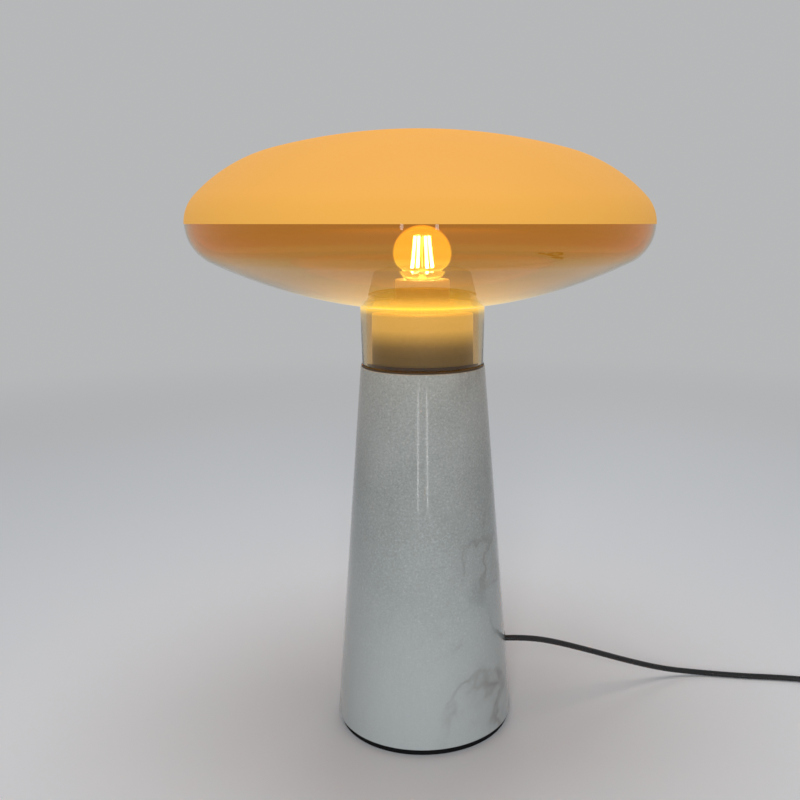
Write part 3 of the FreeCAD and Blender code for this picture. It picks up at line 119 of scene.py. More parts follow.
def coil_points():
    """The put-away length: inwards on the lower layer, outwards on the upper one."""
    band = COIL_PITCH * COIL_TURNS / 4
    inner = COIL_MIDDLE - band
    centre = Vector((SWITCH_X + COIL_MIDDLE + band, COIL_START_Y))
    # The curve runs a little inside its control points, so they lie further out by this share.
    pull = 0.75 + 0.25 * math.cos(2 * math.pi / COIL_POINTS)
    points = []
    for step in range(1, COIL_TURNS * COIL_POINTS):
        turn = step / COIL_POINTS
        from_middle = turn - COIL_TURNS / 2
        # Within a quarter turn of the middle the cord climbs from the lower layer to the upper.
        if abs(from_middle) < 0.25:
            out = 0.125 + from_middle**2 * 2
            share = (from_middle + 0.25) * 2
            share = share * share * (3 - 2 * share)
        else:
            out = abs(from_middle)
            share = 0.0 if from_middle < 0 else 1.0
        radius = (inner + COIL_PITCH * out) / pull
        angle = math.pi + 2 * math.pi * turn
        x = centre.x + radius * math.cos(angle)
        y = centre.y + radius * math.sin(angle)
        points.append((x, y, COIL_LIFT + COIL_PITCH * share))
    return points


CORD_TOP = COIL_LIFT + COIL_PITCH
TAIL = [(SWITCH_X, COIL_START_Y - 0.006, CORD_TOP), (SWITCH_X, -0.134, CORD_TOP)]


def nurbs_curve(name, points, radius):
    """A smooth round cord with the points as its control points."""
    data = bpy.data.curves.new(name, "CURVE")
    data.dimensions = "3D"
    spline = data.splines.new("NURBS")
    spline.points.add(len(points) - 1)
    for point, place in zip(spline.points, points):
        point.co = (*place, 1.0)
        point.radius = radius
    spline.order_u = 3
    spline.use_endpoint_u = True
    spline.resolution_u = 6
    data.bevel_depth = 1.0
    data.bevel_resolution = 6
    data.use_fill_caps = True
    made = bpy.data.objects.new(name, data)
    bpy.context.collection.objects.link(made)
    return made


mains_cord = nurbs_curve("mains_cord", ROUTE + coil_points() + TAIL, CORD_RADIUS)
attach(mains_cord, "lamp")
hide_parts("power_cord", "switch_tail", "cord_coil")

# ---------------------------------------------------------------- finishes


class Finish:
    """A procedural finish: one shader fed by patterns that follow the piece itself."""

    def __init__(self, name):
        self.material = bpy.data.materials.new(name)
        self.material.use_nodes = True
        self.tree = self.material.node_tree
        self.shader = self.tree.nodes["Principled BSDF"]
        self.place = self.tree.nodes.new("ShaderNodeTexCoord").outputs["Object"]

    def set(self, **values):
        """Sets sockets that are the same all over."""
        for name, value in values.items():
            socket = self.shader.inputs[name.replace("_", " ")]
            socket.default_value = value
        return self

    def node(self, kind, **settings):
        """Adds a shader node."""
        node = self.tree.nodes.new("ShaderNode" + kind)
        for name, value in settings.items():
            setattr(node, name, value)
        return node

    def link(self, output, target):
        self.tree.links.new(output, target)

    def mapped(self, scale=(1, 1, 1), shift=(0, 0, 0)):
        """The place on the piece, scaled and moved."""
        mapping = self.node("Mapping")
        mapping.inputs["Scale"].default_value = scale
        mapping.inputs["Location"].default_value = shift
        self.link(self.place, mapping.inputs["Vector"])
        return mapping.outputs["Vector"]

    def along(self, axis):
        """The place on the piece along X, Y or Z."""
        split = self.node("SeparateXYZ")
        self.link(self.place, split.inputs[0])
        return split.outputs[axis]

    def length(self, vector):
        node = self.node("VectorMath", operation="LENGTH")
        self.link(vector, node.inputs[0])
        return node.outputs["Value"]

    def noise(self, scale, detail=4.0, roughness=0.55, distortion=0.0, where=None):
        noise = self.node("TexNoise")
        noise.inputs["Scale"].default_value = scale
        noise.inputs["Detail"].default_value = detail
        noise.inputs["Roughness"].default_value = roughness
        noise.inputs["Distortion"].default_value = distortion
        self.link(where or self.place, noise.inputs["Vector"])
        return noise.outputs["Fac"]

    def math(self, operation, a, b=None, clamp=False):
        node = self.node("Math", operation=operation, use_clamp=clamp)
        for socket, value in zip(node.inputs, (a, b)):
            if value is None:
                continue
            if isinstance(value, (int, float)):
                socket.default_value = value
            else:
                self.link(value, socket)
        return node.outputs[0]

    def ramp(self, value, stops, smooth=False):
        """Colours along a value: each stop is (position, colour)."""
        ramp = self.node("ValToRGB")
        ramp.color_ramp.interpolation = "EASE" if smooth else "LINEAR"
        elements = ramp.color_ramp.elements
        while len(elements) < len(stops):
            elements.new(0.5)
        for element, (position, colour) in zip(elements, stops):
            element.position = position
            element.color = (*colour, 1.0)
        self.link(value, ramp.inputs["Fac"])
        return ramp.outputs["Color"]

    def range(self, value, low, high, to_low=0.0, to_high=1.0):
        """A soft step from to_low at low to to_high at high."""
        node = self.node("MapRange", interpolation_type="SMOOTHSTEP")
        self.link(value, node.inputs["Value"])
        for name, number in (("From Min", low), ("From Max", high), ("To Min", to_low),
                             ("To Max", to_high)):
            node.inputs[name].default_value = number
        return node.outputs["Result"]

    def mix(self, share, a, b):
        """Colour a with a share of colour b."""
        node = self.node("Mix", data_type="RGBA")
        if isinstance(share, (int, float)):
            node.inputs["Factor"].default_value = share
        else:
            self.link(share, node.inputs["Factor"])
        for socket, value in ((node.inputs[6], a), (node.inputs[7], b)):
            if isinstance(value, tuple):
                socket.default_value = (*value, 1.0)
            else:
                self.link(value, socket)
        return node.outputs[2]

    def colour(self, output):
        self.link(output, self.shader.inputs["Base Color"])

    def glow(self, output, strength):
        """Light that the piece gives off."""
        self.link(output, self.shader.inputs["Emission Color"])
        self.set(Emission_Strength=strength)

    def rough(self, value, low, high):
        """Roughness that follows a pattern."""
        self.link(self.range(value, 0.3, 0.7, low, high), self.shader.inputs["Roughness"])

    def bump(self, height, distance, strength):
        """Fine relief that follows a pattern."""
        bump = self.node("Bump")
        bump.inputs["Strength"].default_value = strength
        bump.inputs["Distance"].default_value = distance
        self.link(height, bump.inputs["Height"])
        self.link(bump.outputs["Normal"], self.shader.inputs["Normal"])


def lit_by_bulb(finish, stops, colour, strength):
    """Warm light of the bulb that falls on a piece: stops are (height, share) from low to high."""
    low, high = stops[0][0], stops[-1][0]
    height = finish.node("MapRange")
    finish.link(finish.along("Z"), height.inputs["Value"])
    height.inputs["From Min"].default_value = low
    height.inputs["From Max"].default_value = high
    steps = [((z - low) / (high - low), tuple(share * c for c in colour)) for z, share in stops]
    finish.glow(finish.ramp(height.outputs["Result"], steps), strength)
    return finish.material


def moulded(name, dark, light, low, high, grain=900.0, depth=0.00006, gloss=0.5, lit=None):
    """Plastic, rubber or plain metal: two close tones, uneven gloss and a fine grain."""
    finish = Finish(name)
    cloud = finish.noise(60.0, 5.0)
    finish.colour(finish.ramp(cloud, [(0.3, dark), (0.7, light)]))
    finish.rough(finish.noise(140.0, 3.0), low, high)
    finish.bump(finish.noise(grain, 2.0), depth, 0.35)
    finish.set(Specular_IOR_Level=gloss)
    if lit:
        lit_by_bulb(finish, *lit)
    return finish.material


def marble():
    """White stone with cool clouds, fine grit and grey veins down the right-hand side."""
    finish = Finish("white_marble")
    warp = finish.node("TexNoise")
    warp.inputs["Scale"].default_value = 9.0
    warp.inputs["Detail"].default_value = 5.0
    finish.link(finish.place, warp.inputs["Vector"])
    push = finish.node("VectorMath", operation="SUBTRACT")
    push.inputs[1].default_value = (0.5, 0.5, 0.5)
    finish.link(warp.outputs["Color"], push.inputs[0])
    grow = finish.node("VectorMath", operation="SCALE")
    grow.inputs["Scale"].default_value = 0.11
    finish.link(push.outputs[0], grow.inputs[0])
    bent = finish.node("VectorMath", operation="ADD")
    finish.link(finish.place, bent.inputs[0])
    finish.link(grow.outputs[0], bent.inputs[1])
    # Veins are the thin levels of a warped noise that is drawn out along the column.
    stretch = finish.node("Mapping")
    stretch.inputs["Scale"].default_value = (15.0, 15.0, 8.0)
    stretch.inputs["Rotation"].default_value = (0.0, 0.35, 0.2)
    finish.link(bent.outputs[0], stretch.inputs["Vector"])
    level = finish.noise(1.0, 3.0, 0.55, 0.3, stretch.outputs["Vector"])
    thin = finish.math("ABSOLUTE", finish.math("SUBTRACT", level, 0.5))
    line = finish.range(thin, 0.0, 0.045, 1.0, 0.0)
    halo = finish.range(thin, 0.0, 0.16, 1.0, 0.0)
    side = finish.range(finish.along("X"), 0.0, 0.05, 0.06)
    patch = finish.range(finish.noise(16.0, 3.0), 0.40, 0.66)
    strength = finish.math("MULTIPLY", side, patch)
    veins = finish.math("MULTIPLY", line, strength, clamp=True)
    shadow = finish.math("MULTIPLY", halo, strength, clamp=True)
    cloud = finish.noise(22.0, 6.0, 0.6)
    stone = finish.ramp(cloud, [(0.25, (0.365, 0.405, 0.40)), (0.75, (0.425, 0.465, 0.465))], True)
    grit = finish.noise(620.0, 2.0, 0.75)
    stone = finish.mix(finish.range(grit, 0.50, 0.72, 0.0, 0.45), stone, (0.64, 0.69, 0.70))
    stone = finish.mix(finish.range(grit, 0.48, 0.30, 0.0, 0.40), stone, (0.24, 0.27, 0.27))
    # Painted light: the stone is paler towards its foot, where the floor's bounce lights it and
    # the shade above no longer shadows it.
    painted_foot_light = finish.range(finish.along("Z"), 0.20, 0.02, 0.0, 0.75)
    stone = finish.mix(painted_foot_light, stone, (0.62, 0.68, 0.69))
    stone = finish.mix(finish.math("MULTIPLY", shadow, 0.40), stone, (0.34, 0.34, 0.33))
    stone = finish.mix(finish.math("MULTIPLY", veins, 0.45), stone, (0.20, 0.19, 0.18))
    finish.colour(stone)
    finish.rough(cloud, 0.10, 0.17)
    finish.bump(finish.noise(260.0, 3.0), 0.00003, 0.25)
    finish.set(Coat_Weight=0.3, Coat_Roughness=0.04, Subsurface_Weight=0.05)
    finish.shader.inputs["Subsurface Radius"].default_value = (0.004, 0.004, 0.004)
    return finish.material


def clear_glass(name, bend, seed_size=220.0, waves=0.0004):
    """Blown glass: clear, with the faint waves that blowing leaves."""
    finish = Finish(name)
    finish.set(Transmission_Weight=1.0, IOR=bend)
    finish.rough(finish.noise(seed_size, 2.0), 0.0, 0.02)
    finish.bump(finish.noise(18.0, 2.0), waves, 0.12)
    return finish


def smoke_glass():
    """The clear lower half: a little smoky, with an amber band under the coat that is partly the
    coat fading out and partly painted reflection.
    """
    finish = clear_glass("smoke_glass", 1.45)
    height = finish.along("Z")
    # Partly painted reflection: the amber band just under the coat also stands for the lit coat
    # mirrored in the glass.
    coat_band_and_reflection = finish.range(height, EQUATOR - 0.0235, EQUATOR - 0.0195)
    bowl = finish.range(height, 0.345, 0.353)
    plain = finish.mix(bowl, (0.91, 0.71, 0.42), (0.89, 0.66, 0.28))
    finish.colour(finish.mix(coat_band_and_reflection, plain, (0.90, 0.54, 0.12)))
    # Round the neck the glass catches the bulb's light.
    catch = finish.range(finish.length(finish.mapped((1.0, 1.0, 0.0))), 0.130, 0.052)
    catch = finish.math("MULTIPLY", catch, finish.range(height, 0.346, 0.354))
    finish.glow(finish.mix(catch, (0.0, 0.0, 0.0), (1.0, 0.66, 0.07)), 0.27)
    return finish.material


def bulb_glass():
    """The globe of the bulb, thin and clear, filled with the glow of its filaments."""
    finish = clear_glass("bulb_glass", 1.2, 400.0, 0.0)
    finish.set(Base_Color=(1.0, 0.97, 0.90, 1.0))
    stops = [(0.362, 0.35), (0.385, 1.0), (0.400, 1.0), (0.4155, 0.8)]
    return lit_by_bulb(finish, stops, (1.0, 0.72, 0.08), 0.21)


def amber_coat():
    """The frosted amber coat on the upper half, lit from inside by the bulb."""
    finish = Finish("amber_coat")
    far = finish.range(finish.length(finish.mapped(shift=(0.0, 0.0, -BULB_MIDDLE))), 0.08, 0.175)
    drift = finish.range(finish.noise(11.0, 3.0), 0.35, 0.7, 0.0, 0.25)
    glow = finish.mix(far, (1.0, 0.44, 0.05), (0.90, 0.44, 0.10))
    glow = finish.mix(drift, glow, (0.80, 0.37, 0.08))
    # The coat is thinnest, and so brightest, at its edge.
    edge = finish.range(finish.along("Z"), EQUATOR + 0.030, EQUATOR, 0.0, 0.55)
    finish.glow(finish.mix(edge, glow, (1.0, 0.52, 0.07)), 0.42)
    # Painted light: the coat's own colour is also deeper near the bulb and duller far from it.
    finish.colour(finish.mix(far, (0.66, 0.30, 0.035), (0.60, 0.30, 0.06)))
    finish.set(Specular_IOR_Level=0.25)
    finish.rough(finish.noise(500.0, 2.0), 0.50, 0.62)
    finish.bump(finish.noise(1600.0, 2.0), 0.00002, 0.3)
    return finish.material


def coat_inside():
    """The inner face of the amber coat, which the bulb lights straight from below."""
    finish = Finish("coat_inside")
    out = finish.range(finish.length(finish.mapped((1.0, 1.0, 0.0))), 0.010, 0.120)
    finish.glow(finish.mix(out, (1.0, 0.50, 0.10), (0.16, 0.068, 0.012)), 2.4)
    # Painted light: its colour too is paler over the bulb and darker towards the rim.
    finish.colour(finish.mix(out, (0.62, 0.32, 0.09), (0.52, 0.26, 0.07)))
    finish.set(Specular_IOR_Level=0.2)
    finish.rough(finish.noise(400.0, 2.0), 0.55, 0.7)
    return finish.material


def glowing(name, colour, strength):
    """A lit filament, with fine beads a little brighter than the rest."""
    finish = Finish(name)
    beads = finish.noise(1400.0, 1.0)
    finish.colour(finish.ramp(beads, [(0.3, (0.9, 0.6, 0.25)), (0.7, (1.0, 0.75, 0.4))]))
    brighter = tuple(min(1.0, c * 1.2) for c in colour)
    finish.glow(finish.mix(finish.range(beads, 0.4, 0.6), colour, brighter), strength)
    return finish.material


def champagne_metal():
    """Blasted and lacquered metal, lit from above by the bulb."""
    finish = Finish("champagne_metal")
    grain = finish.noise(1300.0, 2.0, 0.7)
    finish.colour(finish.ramp(grain, [(0.3, (0.28, 0.25, 0.115)), (0.7, (0.43, 0.39, 0.20))]))
    finish.rough(grain, 0.36, 0.48)
    finish.bump(grain, 0.00006, 0.5)
    finish.set(Metallic=1.0)
    stops = [(0.316, 0.0), (0.323, 0.12), (0.330, 0.52), (0.336, 0.98), (0.341, 1.0),
             (SLEEVE_TOP, 1.0)]
    return lit_by_bulb(finish, stops, (1.0, 0.69, 0.20), 0.60)


def satin_metal(name, dark, light, low, high, along=(30, 30, 900)):
    """Turned metal: fine lines round the piece."""
    finish = Finish(name)
    lines = finish.noise(1.0, 3.0, 0.6, 0.0, finish.mapped(along))
    finish.colour(finish.ramp(lines, [(0.3, dark), (0.7, light)]))
    finish.rough(lines, low, high)
    finish.bump(lines, 0.00002, 0.25)
    finish.set(Metallic=1.0)
    return finish.material


FINISHES = {
    "marble": marble(),
    "smoke_glass": smoke_glass(),
    "amber_glass": amber_coat(),
    "coat_inside": coat_inside(),
    "bulb_glass": bulb_glass(),
    "filament_glow": glowing("filament_glow", (1.0, 0.80, 0.50), 30.0),
    "champagne_metal": champagne_metal(),
    "black_rubber": moulded("black_rubber", (0.008, 0.008, 0.009), (0.015, 0.015, 0.016),
                            0.75, 0.9, gloss=0.05),
    "seat_brown": moulded("seat_brown", (0.045, 0.026, 0.010), (0.075, 0.045, 0.020), 0.35, 0.5),
    "holder_white": moulded(
        "holder_cream", (0.62, 0.56, 0.45), (0.70, 0.64, 0.53), 0.28, 0.4,
        lit=([(0.349, 0.65), (0.364, 0.70), (0.372, 1.0)], (1.0, 0.62, 0.14), 0.60),
    ),
    "ceramic_white": moulded("steatite", (0.74, 0.73, 0.69), (0.82, 0.81, 0.78), 0.5, 0.65),
    "cord_black": moulded("cord_black", (0.006, 0.006, 0.007), (0.012, 0.012, 0.013),
                          0.24, 0.36, 500.0),
    "bushing_grey": moulded("bushing_nylon", (0.016, 0.016, 0.017), (0.028, 0.028, 0.030),
                            0.35, 0.5),
    "tie_black": moulded("tie_black", (0.010, 0.010, 0.011), (0.022, 0.022, 0.022), 0.6, 0.8),
    "switch_black": moulded("switch_black", (0.010, 0.010, 0.011), (0.018, 0.018, 0.019),
                            0.38, 0.5),
    "rocker_black": moulded("rocker_black", (0.012, 0.012, 0.013), (0.022, 0.022, 0.023),
                            0.22, 0.32),
    "plug_black": moulded("plug_black", (0.010, 0.010, 0.011), (0.018, 0.018, 0.019), 0.4, 0.52),
    "wire_insulation": moulded("wire_insulation", (0.16, 0.07, 0.03), (0.24, 0.11, 0.05),
                               0.35, 0.5),
    "black_glass": moulded("vitrite", (0.010, 0.010, 0.013), (0.020, 0.020, 0.025), 0.1, 0.2),
    "steel_plate": satin_metal("zinc_plate", (0.50, 0.50, 0.51), (0.62, 0.62, 0.62), 0.35, 0.5,
                               (120, 120, 120)),
    "zinc_steel": satin_metal("zinc_steel", (0.52, 0.52, 0.53), (0.66, 0.66, 0.66), 0.3, 0.42),
    "rod_steel": satin_metal("rod_steel", (0.50, 0.47, 0.40), (0.62, 0.59, 0.52), 0.3, 0.45,
                             (30, 30, 1200)),
    "anchor_brass": satin_metal("anchor_brass", (0.58, 0.42, 0.18), (0.70, 0.53, 0.26), 0.3, 0.4),
    "shell_brass": satin_metal("shell_brass", (0.60, 0.44, 0.20), (0.74, 0.57, 0.29), 0.2, 0.32),
    "cap_metal": satin_metal("cap_nickel", (0.62, 0.62, 0.61), (0.75, 0.75, 0.74), 0.2, 0.3),
    "solder": satin_metal("solder", (0.55, 0.55, 0.55), (0.68, 0.68, 0.68), 0.3, 0.45),
    "support_wire": satin_metal("nickel_wire", (0.50, 0.48, 0.44), (0.62, 0.60, 0.56), 0.3, 0.4),
    "contact_brass": satin_metal("contact_brass", (0.60, 0.44, 0.20), (0.74, 0.57, 0.29),
                                 0.25, 0.35),
    "pin_metal": satin_metal("pin_brass", (0.62, 0.50, 0.28), (0.74, 0.62, 0.38), 0.2, 0.3,
                             (900, 900, 60)),
}


def paint(piece, slot):
    """Gives a piece the one finish of a slot of the record."""
    piece.data.materials.clear()
    piece.data.materials.append(FINISHES[slot])


NODE_SLOTS = {s["node"]: s["material_slot"] for s in frame["record"]["subparts"]}

for node_name, node in frame["nodes"].items():
    node.data.materials.clear()
    node.data.materials.append(FINISHES[NODE_SLOTS[node_name]])

mains_cord.data.materials.append(FINISHES["cord_black"])

# ---------------------------------------------------------------- shaping


def drawn(start, moves):
    """A line in the XZ plane from start: each move is ("to", x, z) or
    ("arc", centre x, centre z, degrees, steps), where positive degrees turn anticlockwise."""
    bm = bmesh.new()
    tip = bm.verts.new((start[0], 0.0, start[1]))
    for move in moves:
        if move[0] == "to":
            step = Vector((move[1], 0.0, move[2])) - tip.co
            made = bmesh.ops.extrude_vert_indiv(bm, verts=[tip])
            tip = made["verts"][0]
            bmesh.ops.translate(bm, vec=step, verts=[tip])
        else:
            centre = (move[1], 0.0, move[2])
            made = bmesh.ops.spin(
                bm, geom=[tip], cent=centre, axis=(0.0, -1.0, 0.0),
                angle=math.radians(move[3]), steps=move[4], use_duplicate=False,
            )
            tip = next(g for g in made["geom_last"] if isinstance(g, bmesh.types.BMVert))
    return bm


def soften(bm, rounds):
    """Rounds corners of a drawn line: each round is (x, z, size)."""
    for x, z, size in rounds:
        corner = min(bm.verts, key=lambda v: (v.co - Vector((x, 0.0, z))).length)
        bmesh.ops.bevel(
            bm, geom=[corner], offset=size, offset_type="OFFSET", segments=4, profile=0.5,
            affect="VERTICES", material=-1,
        )


def turned(name, bm, slot, body, nodes, steps=128, sharp=35.0):
    """Turns a drawn line about the lamp's axis into a closed piece that stands for CAD nodes."""
    bmesh.ops.spin(
        bm, geom=bm.verts[:] + bm.edges[:], cent=(0.0, 0.0, 0.0), axis=(0.0, 0.0, 1.0),
        angle=2 * math.pi, steps=steps, use_merge=True, use_duplicate=False,
    )
    bmesh.ops.remove_doubles(bm, verts=bm.verts[:], dist=1e-6)
    finished(name, bm, slot, body, nodes, sharp)


def finished(name, bm, slot, body, nodes, sharp=35.0):
    """Makes an object of a mesh, paints it and puts it on its body."""
    bmesh.ops.recalc_face_normals(bm, faces=bm.faces[:])
    mesh = bpy.data.meshes.new(name)
    bm.to_mesh(mesh)
    bm.free()
    for face in mesh.polygons:
        face.use_smooth = True
    mesh.set_sharp_from_angle(angle=math.radians(sharp))
    piece = bpy.data.objects.new(name, mesh)
    bpy.context.collection.objects.link(piece)
    paint(piece, slot)
    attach(piece, body)
    if nodes:
        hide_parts(*nodes)


# ---------------------------------------------------------------- foot and column


def make_foot():
    """The rubber pad under the stone."""
    bm = drawn((0.0, 0.0), [("to", PAD_RADIUS, 0.0), ("to", PAD_RADIUS, PAD_TOP),
                            ("to", 0.0, PAD_TOP)])
    soften(bm, [(PAD_RADIUS, 0.0, 0.0010), (PAD_RADIUS, PAD_TOP, 0.0003)])
    turned("foot_pad", bm, "black_rubber", "lamp", ["base_pad"])


def make_column():
    """The stone cone, with its bore, the recess of the foot plate and the well above it."""
    plate_recess = (0.056, 0.011)
    well = (0.032, 0.125)
    bm = drawn(
        (MARBLE_BORE, MARBLE_TOP),
        [
            ("to", MARBLE_TOP_RADIUS, MARBLE_TOP),
            ("to", MARBLE_FOOT_RADIUS, PAD_TOP),
            ("to", plate_recess[0], PAD_TOP),
            ("to", *plate_recess),
            ("to", well[0], plate_recess[1]),
            ("to", *well),
            ("to", MARBLE_BORE, well[1]),
            ("to", MARBLE_BORE, MARBLE_TOP),
        ],
    )
    soften(bm, [(MARBLE_TOP_RADIUS, MARBLE_TOP, 0.0012), (MARBLE_FOOT_RADIUS, PAD_TOP, 0.0016)])
    turned("column", bm, "marble", "lamp", ["marble_column"], 256)


# ---------------------------------------------------------------- glass

GLASS_NODES = ["glass_shade_upper", "glass_shade_rim", "glass_shade_lower", "glass_neck"]


def bowl_arc(reach, drop, rim):
    """Radius, centre height and turn of the bowl's broad arc, below the widest line."""
    broad = (reach**2 + drop**2 - 2 * reach * rim) / (2 * (drop - rim))
    turn = math.atan2(broad - drop, reach - rim)
    return broad, EQUATOR + broad - drop, math.degrees(turn)


def dome_arcs(radius, rise):
    """The dome's rim, shoulder and crown: each arc's centre and how far it turns."""
    # The radii are shares of those at an ellipse's ends, and the shoulder's of their mean.
    rim = 1.10 * rise**2 / radius
    crown = 0.95 * radius**2 / rise
    shoulder = 1.044 * math.sqrt(rim * crown)
    rim_x = radius - rim
    depth = crown - rise
    near = shoulder - rim
    span = math.hypot(rim_x, depth)
    along = (near**2 - (crown - shoulder) ** 2 + span**2) / (2 * span)
    aside = math.sqrt(near**2 - along**2)
    shoulder_x = rim_x - (along * rim_x + aside * depth) / span
    below = (along * depth - aside * rim_x) / span
    first = math.degrees(math.atan2(below, rim_x - shoulder_x))
    second = math.degrees(math.atan2(depth - below, shoulder_x))
    return [
        (rim_x, EQUATOR, first),
        (shoulder_x, EQUATOR - below, second - first),
        (0.0, EQUATOR - depth, 90.0 - second),
    ]


DOME = list(zip(dome_arcs(SHADE_RADIUS, DOME_RISE), (16, 28, 40)))
DOME_UP = [("arc", x, z, turn, steps) for (x, z, turn), steps in DOME]
DOME_DOWN = [("arc", x, z, -turn, steps) for (x, z, turn), steps in reversed(DOME)]


def make_shade():
    """The blown glass from the neck's foot over the bowl and the dome, and back inside."""
    arc, arc_z, arc_turn = bowl_arc(SHADE_RADIUS, BOWL_DROP, BOWL_RIM)
    inner_arc, inner_arc_z, inner_arc_turn = bowl_arc(
        SHADE_RADIUS - GLASS_WALL, BOWL_DROP - GLASS_WALL, BOWL_RIM - GLASS_WALL
    )
    rim_x = SHADE_RADIUS - BOWL_RIM
    crease_z = arc_z - math.sqrt(arc**2 - CREASE**2)
    crease_turn = math.degrees(math.asin(CREASE / arc))
    bore_turn = math.degrees(math.asin(NECK_BORE / inner_arc))
    bm = drawn(
        (NECK_BORE, GLASS_FOOT),
        [
            ("to", NECK_FOOT, GLASS_FOOT),
            ("to", CREASE, crease_z),
            ("arc", 0.0, arc_z, 90 - arc_turn - crease_turn, 40),
            ("arc", rim_x, EQUATOR, arc_turn, 20),
            *DOME_UP,
            ("to", 0.0, EQUATOR + DOME_RISE - GLASS_WALL),
            *DOME_DOWN,
            ("arc", rim_x, EQUATOR, -inner_arc_turn, 20),
            ("arc", 0.0, inner_arc_z, inner_arc_turn + bore_turn - 90, 40),
            ("to", NECK_BORE, GLASS_FOOT),
        ],
    )
    bmesh.ops.remove_doubles(bm, verts=bm.verts[:], dist=1e-6)
    soften(bm, [(NECK_BORE, GLASS_FOOT, 0.0012), (NECK_FOOT, GLASS_FOOT, 0.0012),
                (CREASE, crease_z, 0.0015)])
    turned("shade", bm, "smoke_glass", "shade", GLASS_NODES, 256, 50.0)


def make_coat():
    """The amber coat on the upper half, outside and inside, ending at the widest line."""
    start = SHADE_RADIUS + COAT_GAP
    bm = drawn(
        (start, EQUATOR),
        [
            ("to", start + COAT, EQUATOR),
            *DOME_UP,
            ("to", 0.0, EQUATOR + DOME_RISE + COAT_GAP),
            *DOME_DOWN,
        ],
    )
    turned("shade_coat", bm, "amber_glass", "shade", [], 256, 60.0)
    # What the inside of the dome shows from below: the same coat, lit straight by the bulb.
    start = SHADE_RADIUS - GLASS_WALL - COAT
    bm = drawn(
        (start, EQUATOR),
        [
            *DOME_UP,
            ("to", 0.0, EQUATOR + DOME_RISE - GLASS_WALL - 2 * COAT),
            *DOME_DOWN,
            ("to", start, EQUATOR),
        ],
    )
    turned("shade_coat_inside", bm, "coat_inside", "shade", [], 192, 60.0)


def make_sleeve():
    """The cup that stands upside down in the neck, with a hole for the lampholder."""
    inside = SLEEVE_RADIUS - SLEEVE_WALL
    ceiling = SLEEVE_TOP - SLEEVE_WALL
    bm = drawn(
        (inside, MARBLE_TOP),
        [
            ("to", SLEEVE_RADIUS, MARBLE_TOP),
            ("to", SLEEVE_RADIUS, SLEEVE_TOP),
            ("to", SLEEVE_HOLE, SLEEVE_TOP),
            ("to", SLEEVE_HOLE, ceiling),
            ("to", inside, ceiling),
            ("to", inside, MARBLE_TOP),
        ],
    )
    soften(bm, [(SLEEVE_RADIUS, SLEEVE_TOP, 0.0020)])
    turned("sleeve", bm, "champagne_metal", "lamp", ["inner_sleeve"], 160)


def make_bulb():
    """The globe with its short neck, a thin shell open at the foot."""
    neck = 0.0124
    wall = 0.0008
    foot = 0.3621
    outer = math.degrees(math.acos(neck / BULB_RADIUS))
    inner_radius = BULB_RADIUS - wall
    inner = math.degrees(math.acos((neck - wall) / inner_radius))
    join = BULB_MIDDLE - math.sqrt(BULB_RADIUS**2 - neck**2)
    join_in = BULB_MIDDLE - math.sqrt(inner_radius**2 - (neck - wall) ** 2)
    bm = drawn(
        (neck - wall, foot),
        [
            ("to", neck, foot),
            ("to", neck, join),
            ("arc", 0.0, BULB_MIDDLE, 90 + outer, 64),
            ("to", 0.0, BULB_MIDDLE + inner_radius),
            ("arc", 0.0, BULB_MIDDLE, -90 - inner, 64),
            ("to", neck - wall, foot),
        ],
    )
    soften(bm, [(neck, join, 0.003), (neck - wall, join_in, 0.003)])
    turned("globe", bm, "bulb_glass", "bulb", ["bulb_globe"], 96, 50.0)


def make_filaments():
    """Four glowing rods that lean together at the top."""
    rod = 0.0013
    bm = bmesh.new()
    for quarter in range(4):
        angle = math.radians(25 + 90 * quarter)
        foot = Vector((0.009 * math.cos(angle), 0.009 * math.sin(angle), 0.3775))
        top = Vector((0.006 * math.cos(angle), 0.006 * math.sin(angle), 0.4065))
        along = top - foot
        turn = along.to_track_quat("Z", "Y").to_matrix().to_4x4()
        bmesh.ops.create_cone(
            bm, cap_ends=True, segments=24, radius1=rod, radius2=rod, depth=along.length,
            matrix=Matrix.Translation((foot + top) / 2) @ turn,
        )
    # Only the rims of the rods' ends are this sharp.
    ends = [edge for edge in bm.edges if edge.calc_face_angle() > 1.2]
    bmesh.ops.bevel(bm, geom=ends, offset=0.0007, offset_type="OFFSET", segments=3,
                    profile=0.5, affect="EDGES", material=-1)
    finished("filaments", bm, "filament_glow", "bulb", ["bulb_filaments"])


def outlined(corners):
    """A closed line through corners (x, z)."""
    bm = drawn(corners[0], [("to", x, z) for x, z in corners[1:] + corners[:1]])
    bmesh.ops.remove_doubles(bm, verts=bm.verts[:], dist=1e-6)
    return bm


def make_seat():
    """The soft ring under the glass neck, with the lip that centres it."""
    lip = 0.3084
    bm = outlined([
        (0.0410, MARBLE_TOP), (0.0496, MARBLE_TOP), (0.0496, GLASS_FOOT), (0.0444, GLASS_FOOT),
        (0.0444, lip), (0.0428, lip), (0.0428, GLASS_FOOT), (0.0410, GLASS_FOOT),
    ])
    soften(bm, [(0.0496, GLASS_FOOT, 0.0004), (0.0444, lip, 0.0005), (0.0428, lip, 0.0005)])
    turned("seat_ring", bm, "seat_brown", "lamp", ["neck_seat_ring"], 160)


